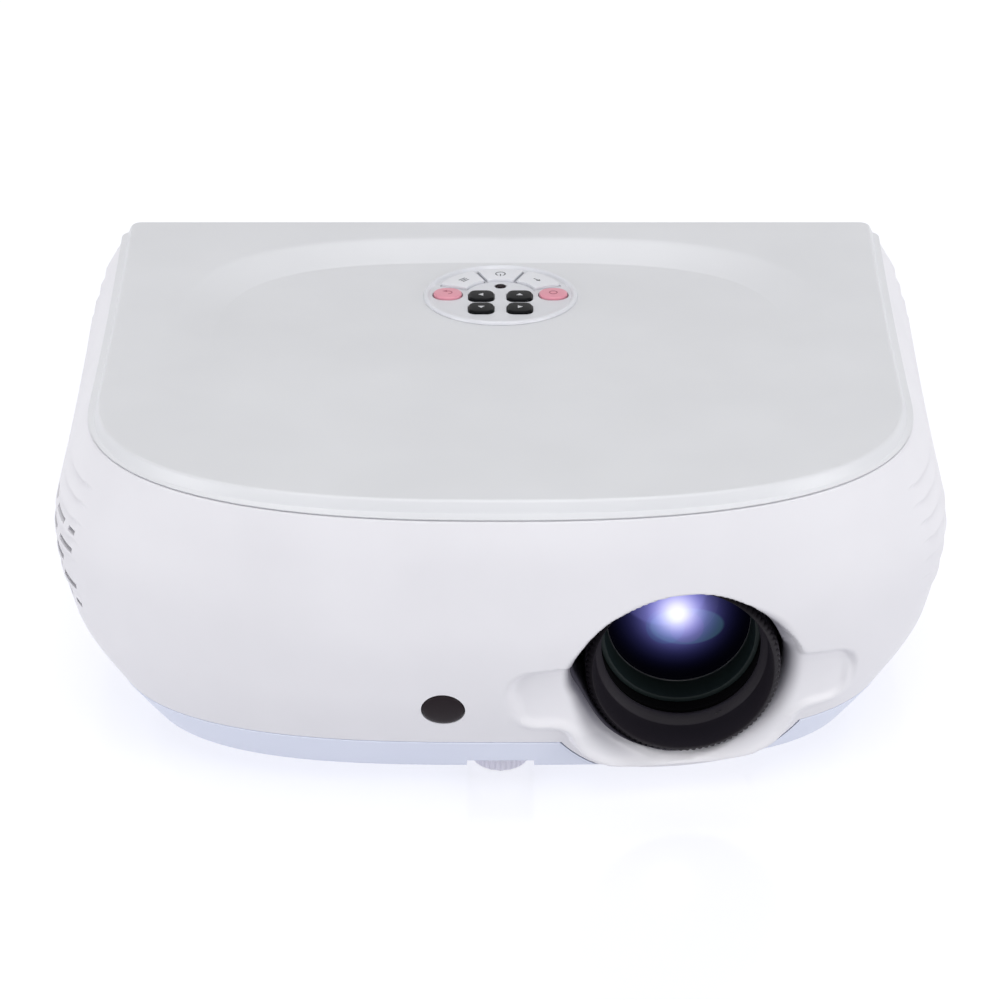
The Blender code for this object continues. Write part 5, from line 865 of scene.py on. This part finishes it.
def make_top_plate():
    """The top cover: from under the dish out to the rim, over it and back in to the dish's middle."""
    turns, steps = even_turns(56), (30, 6, 36)
    low = UPPER_SEAM_Z + 0.0002
    outline = plan(BODY_HEIGHT, turns, steps, TOP_ROUND)
    table = [top_ring(outline, 1.0, share, 0.002) for share in (0.0, 0.3, 0.6, 1.0)]
    for z, inset in ((low + 0.0006, WALL), (low, 0.0004), (low + 0.00012, 0.00012), (low + 0.0004, 0.0)):
        table.append(level(z, low, inset, turns, steps))
    for inset, z in ((0.0002, 0.0822), (0.0005, 0.0831), (0.0008, 0.0838)):
        table.append(level(z, BODY_HEIGHT, inset, turns, steps))
    for step in range(1, 9):
        turn = math.radians(20 + 70 * step / 8)
        z = BODY_HEIGHT - 0.001 + 0.001 * math.sin(turn)
        table.append(level(z, BODY_HEIGHT, TOP_ROUND - 0.001 * math.cos(turn), turns, steps))
    rim, flat_edge = (
        [Vector((point.x, point.y, BODY_HEIGHT)) for point in row]
        for row in (table[-1], top_ring(outline, 0.0, 1.0))
    )
    for share in (0.34, 0.67):
        table.append([outer.lerp(inner, share) for outer, inner in zip(rim, flat_edge)])
    bands = [0.0, 0.03, 0.07, 0.11, 0.15, 0.19] + [step / 16 for step in range(4, 15)]
    bands += [0.92, 0.95, 0.97, 0.985, 1.0, 1.02]
    table += [top_ring(outline, band, 1.0) for band in bands]
    table += [top_ring(outline, 1.0, 1 - step / 16) for step in range(1, 17)]
    hole = lathe([(0.0, 0.01), (0.02, 0.01), (0.02, -0.01), (0.0, -0.01)], 128, PANEL_PLACE)
    plate = carved(bent_grid(table), [hole])
    piece_from("top_plate", plate, TOP_WHITE, "case", ["top_cover"])


# Bottom cover
def make_base_tray():
    """The bottom cover: its inner floor and wall, over the edge, down the outside and under to the middle."""
    turns, steps = even_turns(60), (24, 6, 12)
    top, floor = LOWER_SEAM_Z - 0.0001, 0.0092
    ring = level(floor, floor, WALL + UNDER_ROUND, turns, steps)
    table = [[Vector((p.x * share, p.y * share, floor)) for p in ring] for share in (0.0, 0.5, 1.0)]
    for z, inset in ((top, WALL), (top, 0.00025), (top - 0.00008, 0.00008), (top - 0.00025, 0.0)):
        table.append(level(z, top, inset, turns, steps))
    for z in (0.015, 0.0135, 0.012, 0.0105, floor):
        table.append(level(z, z, 0.0, turns, steps))
    for step in range(7):
        turn = math.radians(90) * step / 6
        z = FOOT_HEIGHT + UNDER_ROUND * (1 - math.sin(turn))
        table.append(level(z, z, UNDER_ROUND * (1 - math.cos(turn)), turns, steps))
    edge = table[-1]
    for share in (0.95, 0.8, 0.5, 0.2, 0.0):
        table.append([Vector((p.x * share, p.y * share, FOOT_HEIGHT)) for p in edge])
    notch = rod((LENS_X, -0.1, LENS_Z), 0.1 + FRONT_Y + 0.0288, APRON_RADIUS + SEAM, 160)
    foot = block((-FOOT_NOTCH, -0.1, 0.0), (FOOT_NOTCH, FOOT_Y + FOOT_NOTCH, FOOT_HEIGHT + 0.0026))
    soften(foot, edges_along(foot, 2, 0.005), 0.003, 6)
    vents = bmesh.new()
    for index in range(6):
        place = Matrix.Translation(((LENS_X - 0.0065) / 2, VENT_Y + (index - 2.5) * VENT_PITCH, 0.008))
        size = Matrix.Diagonal((LENS_X + 0.0065, VENT_WIDTH, 0.01, 1.0))
        bmesh.ops.create_cube(vents, size=1.0, matrix=place @ size)
    wells = joined(*(rod((x, y, 0.002), 0.009, 0.0032, 32, "Z") for x, y in SCREWS))
    tray = carved(bent_grid(table), [notch, foot, vents, wells])
    piece_from("base_tray", tray, BASE_WHITE, "case", ["bottom_cover"])


# Lens group, about the lens axis: local Z points out of the lens
LENS_PLACE = Matrix.Translation((LENS_X, RING_FRONT_Y, LENS_Z)) @ Matrix.Rotation(math.radians(90), 4, "X")


def make_focus_ring():
    """The focus ring: its bore with the step, its face and its toothed grip."""
    profile = [
        (0.0211, -0.016, 0), (0.0211, -0.0106, 0), (0.0194, -0.0105, 0), (0.0193, -0.0103, 0),
        (0.0193, -0.0095, 0), (0.0194, -0.0092, 0), (0.02, -0.0082, 0), (0.0206, -0.0072, 0),
        (0.0208, -0.0069, 0), (0.021, -0.004, 0), (0.0213, -0.001, 0), (0.0215, 0.0014, 0),
        (0.02165, 0.0018, 0), (0.0218, 0.002, 0), (0.022, 0.0019, 0), (0.0223, 0.0017, 0.1),
        (0.0228, 0.0013, 0.6), (0.0231, 0.001, 0.85), (0.0233, 0.0007, 1), (0.0234, 0.0002, 1),
        (0.0234, -0.006, 1), (0.0234, -0.015, 1), (0.023, -0.0157, 0.5), (0.0226, -0.016, 0),
        (0.0211, -0.016, 0),
    ]
    ring = fluted(profile, 92, 0.0005, LENS_PLACE, 2)
    piece = piece_from("focus_ring_grip", ring, RING_BLACK, "ring", ["focus_ring"], 50)
    piece.data.materials.append(STEP_BLACK)
    piece.data.materials.append(KNURL_HIGHLIGHT_GREY)
    into_lens = LENS_PLACE.inverted()
    for face in piece.data.polygons:
        middle = into_lens @ face.center
        radius = math.hypot(middle.x, middle.y)
        if radius < 0.021 and -0.0103 < middle.z < -0.0068:
            face.material_index = 1
        # The teeth take the lighter grey of the painted highlight
        elif radius > 0.0228 and middle.z < 0.0004:
            face.material_index = 2


def make_focus_mark():
    """The small raised pointer on the step inside the ring."""
    mark = block((-0.0008, -0.00025, -0.0002), (0.0008, 0.00025, 0.0003))
    soften(mark, mark.edges[:], 0.00012, 2)
    turn = math.radians(-62)
    place = LENS_PLACE @ Matrix.Translation((*polar(0.0201, turn), -0.0083))
    mark = moved(mark, place @ Matrix.Rotation(turn + math.radians(90), 4, "Z"))
    piece_from("focus_mark", mark, STEP_BLACK, "ring")


def make_lens_parts():
    """The barrel, the baffle in front of the glass, the lip that holds the glass, and the glass."""
    barrel = [
        (0.0198, -0.0129), (0.02, -0.0127), (0.0206, -0.0127), (0.0208, -0.0129), (0.0208, -0.0483),
        (0.014, -0.0483), (0.014, -0.027), (0.0198, -0.027),
    ]
    barrel = lathe(barrel, 128, LENS_PLACE)
    piece_from("barrel_tube", barrel, BARREL_BLACK, "lens", ["lens_barrel"])
    baffle = [
        (0.0195, -0.0159), (0.0186, -0.0159), (0.0184, -0.016), (0.0183, -0.0165), (0.0182, -0.0176),
        (0.018, -0.0192), (0.0178, -0.0215), (0.0177, -0.0229), (0.0194, -0.0238),
    ]
    baffle = lathe(baffle, 160, LENS_PLACE)
    piece_from("baffle_cone", baffle, BAFFLE_GREEN_REFLECTION, "lens", ["front_retainer"], 40)
    lip = [(0.0178, -0.0226), (0.0176, -0.0228), (0.01755, -0.0231), (0.0178, -0.0232)]
    piece_from("glass_bezel", lathe(lip, 160, LENS_PLACE), BEZEL_METAL, "lens")
    radius = 0.0195
    front = [step / 24 for step in range(25)]
    back = [1 - step / 12 for step in range(13)]
    dome = [(radius * share, -0.0197 - 0.0045 * share * share) for share in front]
    dome += [(radius * share, -0.0262 - 0.0011 * (1 - share * share)) for share in back]
    glass = lathe(dome, 128, LENS_PLACE)
    piece_from("front_glass", glass, GLASS_WITH_PAINTED_REFLECTION, "lens", ["front_lens"], 60)


# Keypad
def arc_key(middle, gap):
    """The outline of a white key, a piece of a ring, grown by a gap."""
    inner, outer, span, steps = WHITE_KEY_INNER - gap, WHITE_KEY_OUTER + gap, WHITE_KEY_SPAN, 18
    far, near = [], []
    for step in range(steps + 1):
        share = step / steps - 0.5
        far.append(polar(outer, middle + (span + 2 * gap / outer) * share))
        near.append(polar(inner, middle + (span + 2 * gap / inner) * share))
    return far + near[::-1]


def rounded_box(x, y, width, depth, radius, gap, steps=8):
    """The outline of a rounded key, grown by a gap."""
    width, depth, radius = width + 2 * gap, depth + 2 * gap, radius + gap
    points = []
    for number, (sx, sy) in enumerate(((1, 1), (-1, 1), (-1, -1), (1, -1))):
        for step in range(steps + 1):
            turn = math.radians(90) * (number + step / steps)
            points.append(polar(radius, turn, x + sx * (width / 2 - radius), y + sy * (depth / 2 - radius)))
    return points


def key_outlines(gap=0.0):
    """Each key's outline, grown by a gap."""
    outlines = {name: arc_key(math.radians(turn), gap) for name, turn in WHITE_KEYS.items()}
    outlines |= {name: rounded_box(*place, *PINK_SIZE, gap) for name, place in PINK_KEYS.items()}
    outlines |= {name: rounded_box(*place, *BLACK_SIZE, gap) for name, place in BLACK_KEYS.items()}
    return outlines


def make_keypad():
    """The keypad plate with its raised rim, the nine key caps and the status lamp."""
    profile = [
        (0.0, 0.0002), (0.018, 0.0002), (0.0185, 0.00025), (0.01875, 0.0005), (0.0189, 0.0008),
        (0.0191, 0.00096), (0.0194, 0.001), (0.0197, 0.00096), (0.01995, 0.0008), (0.0201, 0.0005),
        (0.0202, 0.0001), (0.019, 0.0001), (0.019, -0.0014), (0.0, -0.0014),
    ]
    holes = [slab(outline, -0.004, 0.004, PANEL_PLACE) for outline in key_outlines(KEY_GAP).values()]
    holes.append(lathe([(0.0, 0.004), (0.0016, 0.004), (0.0016, -0.004), (0.0, -0.004)], 24, LAMP_PLACE))
    plate = carved(lathe(profile, 128, PANEL_PLACE), holes)
    piece_from("keypad_face", plate, PLATE_WHITE, "case", ["keypad_plate"])
    outlines = key_outlines()
    for names, material, slot in (
        (WHITE_KEYS, KEY_WHITE, "key_white"), (PINK_KEYS, KEY_PINK, "key_pink"),
        (BLACK_KEYS, KEY_BLACK, "key_black"),
    ):
        for name in names:
            cap = slab(outlines[name], -0.0018, KEY_TOP)
            if names is WHITE_KEYS:
                corners = [e for e in edges_along(cap, 2, 0.001) if e.calc_face_angle(0) > math.radians(50)]
                soften(cap, corners, 0.0011, 5)
            at_top = [e for e in cap.edges if min(v.co.z for v in e.verts) > KEY_TOP - 0.00001]
            soften(cap, [e for e in at_top if len(e.link_faces) == 2], 0.00055, 5)
            cap = moved(cap, PANEL_PLACE)
            piece_from(name + "_cap", cap, material, name, [name + "_key"], 40)
    profile = [
        (0.0, 0.00075), (0.0006, 0.0007), (0.0011, 0.00055), (0.0013, 0.0003), (0.0013, -0.0016),
        (0.0, -0.0016),
    ]
    lamp = lathe(profile, 32, LAMP_PLACE @ Matrix.Diagonal((1.0, 0.8, 1.0, 1.0)))
    piece_from("lamp_lens", lamp, DARK_GLOSS, "case", ["status_lamp"], 50)


def bar(left, right, low, high):
    """The outline of a bar."""
    return [(left, low), (right, low), (right, high), (left, high)]


def arc_stroke(x, radius, start, end, steps, width):
    """The outline of a ribbon along an arc, its turns in degrees."""
    turns = [math.radians(start + (end - start) * step / steps) for step in range(steps + 1)]
    points = [Vector(polar(radius, turn, x)) for turn in turns]
    left, right = [], []
    for index, point in enumerate(points):
        along = (points[min(index + 1, steps)] - points[max(index - 1, 0)]).normalized()
        side = Vector((-along.y, along.x)) * width / 2
        left.append(tuple(point + side))
        right.append(tuple(point - side))
    return left + right[::-1]


def make_key_marks():
    """Plain printed symbols: bars for the menu, the on-off sign, an input arrow and small pointers."""
    line = 0.00026
    half = line / 2

    def printed(key, outlines, material, centre, turn=0):
        """One key's symbol, turned and laid on its cap."""
        grown = Matrix.Rotation(math.radians(turn), 4, "Z") @ Matrix.Diagonal((1.25, 1.25, 1.0, 1.0))
        place = PANEL_PLACE @ Matrix.Translation((*centre, 0)) @ grown
        shapes = [slab(outline, KEY_TOP - 0.00005, KEY_TOP + 0.00004, place) for outline in outlines]
        piece_from(key + "_mark", joined(*shapes), material, key)

    marks = {
        "menu": [bar(-0.0009, 0.0009, y - half, y + half) for y in (-0.0006, 0.0, 0.0006)],
        "power": [arc_stroke(0.0, 0.001, -60, 240, 22, line), bar(-half, half, -0.0012, -0.0001)],
        "source": [bar(-0.001, 0.0003, -half, half), [(0.0002, -0.00055), (0.001, 0.0), (0.0002, 0.00055)]],
        "back": [
            arc_stroke(0.0001, 0.0008, -90, 110, 16, line),
            [(-0.0011, 0.00075), (-0.0001, 0.0002), (-0.0001, 0.0013)],
        ],
        "ok": [arc_stroke(0.0, 0.0008, 0, 360, 32, line)],
    }
    for key, turn in WHITE_KEYS.items():
        centre = polar((WHITE_KEY_INNER + WHITE_KEY_OUTER) / 2, math.radians(turn))
        printed(key, marks[key], PRINT_GREY, centre, turn - 90)
    for key, place in PINK_KEYS.items():
        printed(key, marks[key], PRINT_ROSE, place)
    pointer = [[(-0.0007, -0.0004), (0.0007, -0.0004), (0.0, 0.0006)]]
    for key, turn in (("up", 0), ("left", 90), ("down", 180), ("right", -90)):
        printed(key, pointer, PRINT_WHITE, BLACK_KEYS[key], turn)


def make_ir_window():
    """The infrared window: a domed disc with a flange behind the case wall."""
    profile = [(0.0, 0.0006)]
    for turn in range(10, 91, 8):
        turn = math.radians(turn)
        profile.append((0.005 * math.sin(turn), 0.0008 * math.cos(turn) - 0.0002))
    profile += [(0.005, -0.0033), (0.0065, -0.0033), (0.0065, -0.0045), (0.0, -0.0045)]
    window = lathe(profile, 64, ir_place())
    piece_from("ir_lens", window, DARK_GLOSS, "case", ["ir_window"], 50)


# Feet
def make_tilt_knob():
    """The tilt foot's ribbed knob with its screw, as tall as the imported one."""
    low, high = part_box("tilt_knob")
    floor, top = 0.0004, low.z + 0.0071
    profile = [
        (0.0, low.z, 0), (0.0064, low.z, 0), (0.0064, floor, 0), (0.0067, floor, 0),
        (0.007, floor + 0.0002, 0.6), (0.0072, floor + 0.0006, 1), (0.0072, top - 0.0012, 1),
        (0.007, top - 0.0005, 0.5), (0.0064, top, 0), (0.0026, top, 0), (0.0026, high.z, 0),
        (0.0, high.z, 0),
    ]
    knob = fluted(profile, 34, 0.00045, Matrix.Translation((0, FOOT_Y, 0)))
    piece_from("knob_wheel", knob, KNOB_LILAC, "foot_knob", ["tilt_knob"], 50)


def dress_packed_parts():
    """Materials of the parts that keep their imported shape."""
    metal = {"Metallic": 1.0}
    # Rubber of the feet: matt, with a coarse moulded skin
    rubber = moulded_plastic("moulded_rubber_grey", "#6E6F74", "#76777C", 0.75, 0.5, 0.02)
    # Green solder mask over copper: a wet gloss that is broken by the tracks below
    board = moulded_plastic("solder_mask_green", "#12502F", "#186038", 0.35, 1.2, 0.02)
    # Extruded aluminium: pale and satin, with a fine grain from the die
    aluminium = bare_material("extruded_aluminium", 0.38, metal, 1.5, "#A9ABB0", "#BFC1C6", 0.01)
    # Nickel-plated steel of sockets and screws: grey with tight gleams
    steel = bare_material("nickel_plated_steel", 0.28, metal, 3.0, "#9C9DA0", "#B4B5B8")
    # Machined brass of the foot's insert: warm yellow, satin from the tool
    brass = bare_material("machined_brass", 0.3, metal, 1.0, "#B08D45", "#C6A256")
    # The fold mirror is silvered on its front: bright and nearly without haze
    mirror = bare_material("front_silvered_mirror", 0.05, metal, 20.0, "#D6D9DC", "#E0E3E6")
    # Fresnel plates of acrylic: pale, a little hazed by their rings
    clear = bare_material("fresnel_acrylic", 0.12, {"IOR": 1.49}, 8.0, "#B8C0C8", "#CCD3DA")
    looks = {
        "tilt_pad": rubber, "rear_foot_left": rubber, "rear_foot_right": rubber, "foot_insert": brass,
        "keypad_board": board, "ir_board": board, "main_board": board, "power_board": board,
        "rear_lens": GLASS_WITH_PAINTED_REFLECTION, "fold_mirror": mirror, "collimator_fresnel": clear, "field_fresnel": clear,
        "lcd_panel": DARK_GLOSS, "reflector_cone": aluminium, "led_module": aluminium, "heat_sink": aluminium,
        "hdmi_socket": steel, "usb_socket_1": steel, "usb_socket_2": steel,
    }
    looks |= {f"case_screw_{number}": steel for number in range(1, 5)}
    for name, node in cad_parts.items():
        for slot in node.material_slots:
            slot.material = looks.get(name, INNER_BLACK)


# Stage, light and camera
def seen_by(tree, first, *others):
    """One for rays of these kinds, and nought for the rest."""
    rays = add_node(tree, "LightPath").outputs
    seen = rays[first]
    for other in others:
        seen = add_node(tree, "Math", {0: seen, 1: rays[other]}, operation="MAXIMUM").outputs[0]
    return seen


def make_stage():
    """The floor: white acrylic lit from below, so the ground stays white and carries a faint reflection."""
    shape = bmesh.new()
    bmesh.ops.create_grid(shape, x_segments=1, y_segments=1, size=6.0)
    floor = placed("paper_floor", as_mesh("paper_floor", shape))
    glow = linear("#F7F8FF")
    constants = {"Roughness": 0.12, "Specular IOR Level": 0.4, "Emission Color": glow}
    material, tree, shader, place = surface("lit_acrylic_white", constants)
    tone(tree, shader, blotches(tree, place, 300.0), "#959597", "#979799")
    seen = seen_by(tree, "Is Camera Ray", "Is Glossy Ray")
    lift = add_node(tree, "MapRange", {"Value": seen, "To Min": 0.39, "To Max": 0.76})
    tree.links.new(lift.outputs["Result"], shader.inputs["Emission Strength"])
    floor.data.materials.append(material)


def make_world():
    """A white studio: plain white where it is seen, and a soft fill light everywhere else."""
    world = bpy.data.worlds.new("white studio")
    bpy.context.scene.world = world
    world.use_nodes = True
    tree = world.node_tree
    tree.nodes.clear()
    seen = seen_by(tree, "Is Camera Ray", "Is Glossy Ray", "Is Transmission Ray")
    soft, white = (
        add_node(tree, "Background", {"Color": (1.0,) * 4, "Strength": strength}).outputs[0]
        for strength in (0.28, 1.0)
    )
    mix = add_node(tree, "MixShader", {0: seen, 1: soft, 2: white})
    add_node(tree, "OutputWorld", {"Surface": mix.outputs[0]})


def make_lights():
    """Round softboxes above, over the back and on both sides."""
    for name, place, target_z, size, watts in (
        ("overhead softbox", (0.1, -0.9, 1.6), 0.05, 1.2, 10.1),
        ("top softbox", (0.0, 0.1, 1.8), 0.05, 1.2, 7.9),
        ("left softbox", (-1.6, -0.9, 0.5), 0.04, 1.0, 13.2),
        ("right softbox", (1.6, -0.9, 0.5), 0.04, 1.0, 13.3),
    ):
        data = bpy.data.lights.new(name, "AREA")
        data.shape, data.size, data.energy = "DISK", size, watts
        lamp = placed(name, data)
        lamp.location = place
        lamp.rotation_euler = (Vector((0, 0, target_z)) - Vector(place)).to_track_quat("-Z", "Y").to_euler()


def make_camera():
    """The photograph's camera: a long lens, 28 degrees down."""
    data = bpy.data.cameras.new("photographer")
    data.lens, data.sensor_width, data.shift_x = 126.0, 36.0, -0.0005
    data.clip_start, data.clip_end = 0.05, 30.0
    camera = placed("photographer", data)
    camera.location = (0.0, -0.7905, 0.4674)
    camera.rotation_euler = (math.radians(61.8), 0.0, 0.0)
    bpy.context.scene.camera = camera
    bpy.context.scene.view_settings.view_transform = "Standard"


make_camera()
make_stage()
make_world()
make_lights()
dress_packed_parts()
make_case_shell()
make_lens_sleeve()
make_top_plate()
make_base_tray()
make_focus_ring()
make_focus_mark()
make_lens_parts()
make_keypad()
make_key_marks()
make_ir_window()
make_tilt_knob()
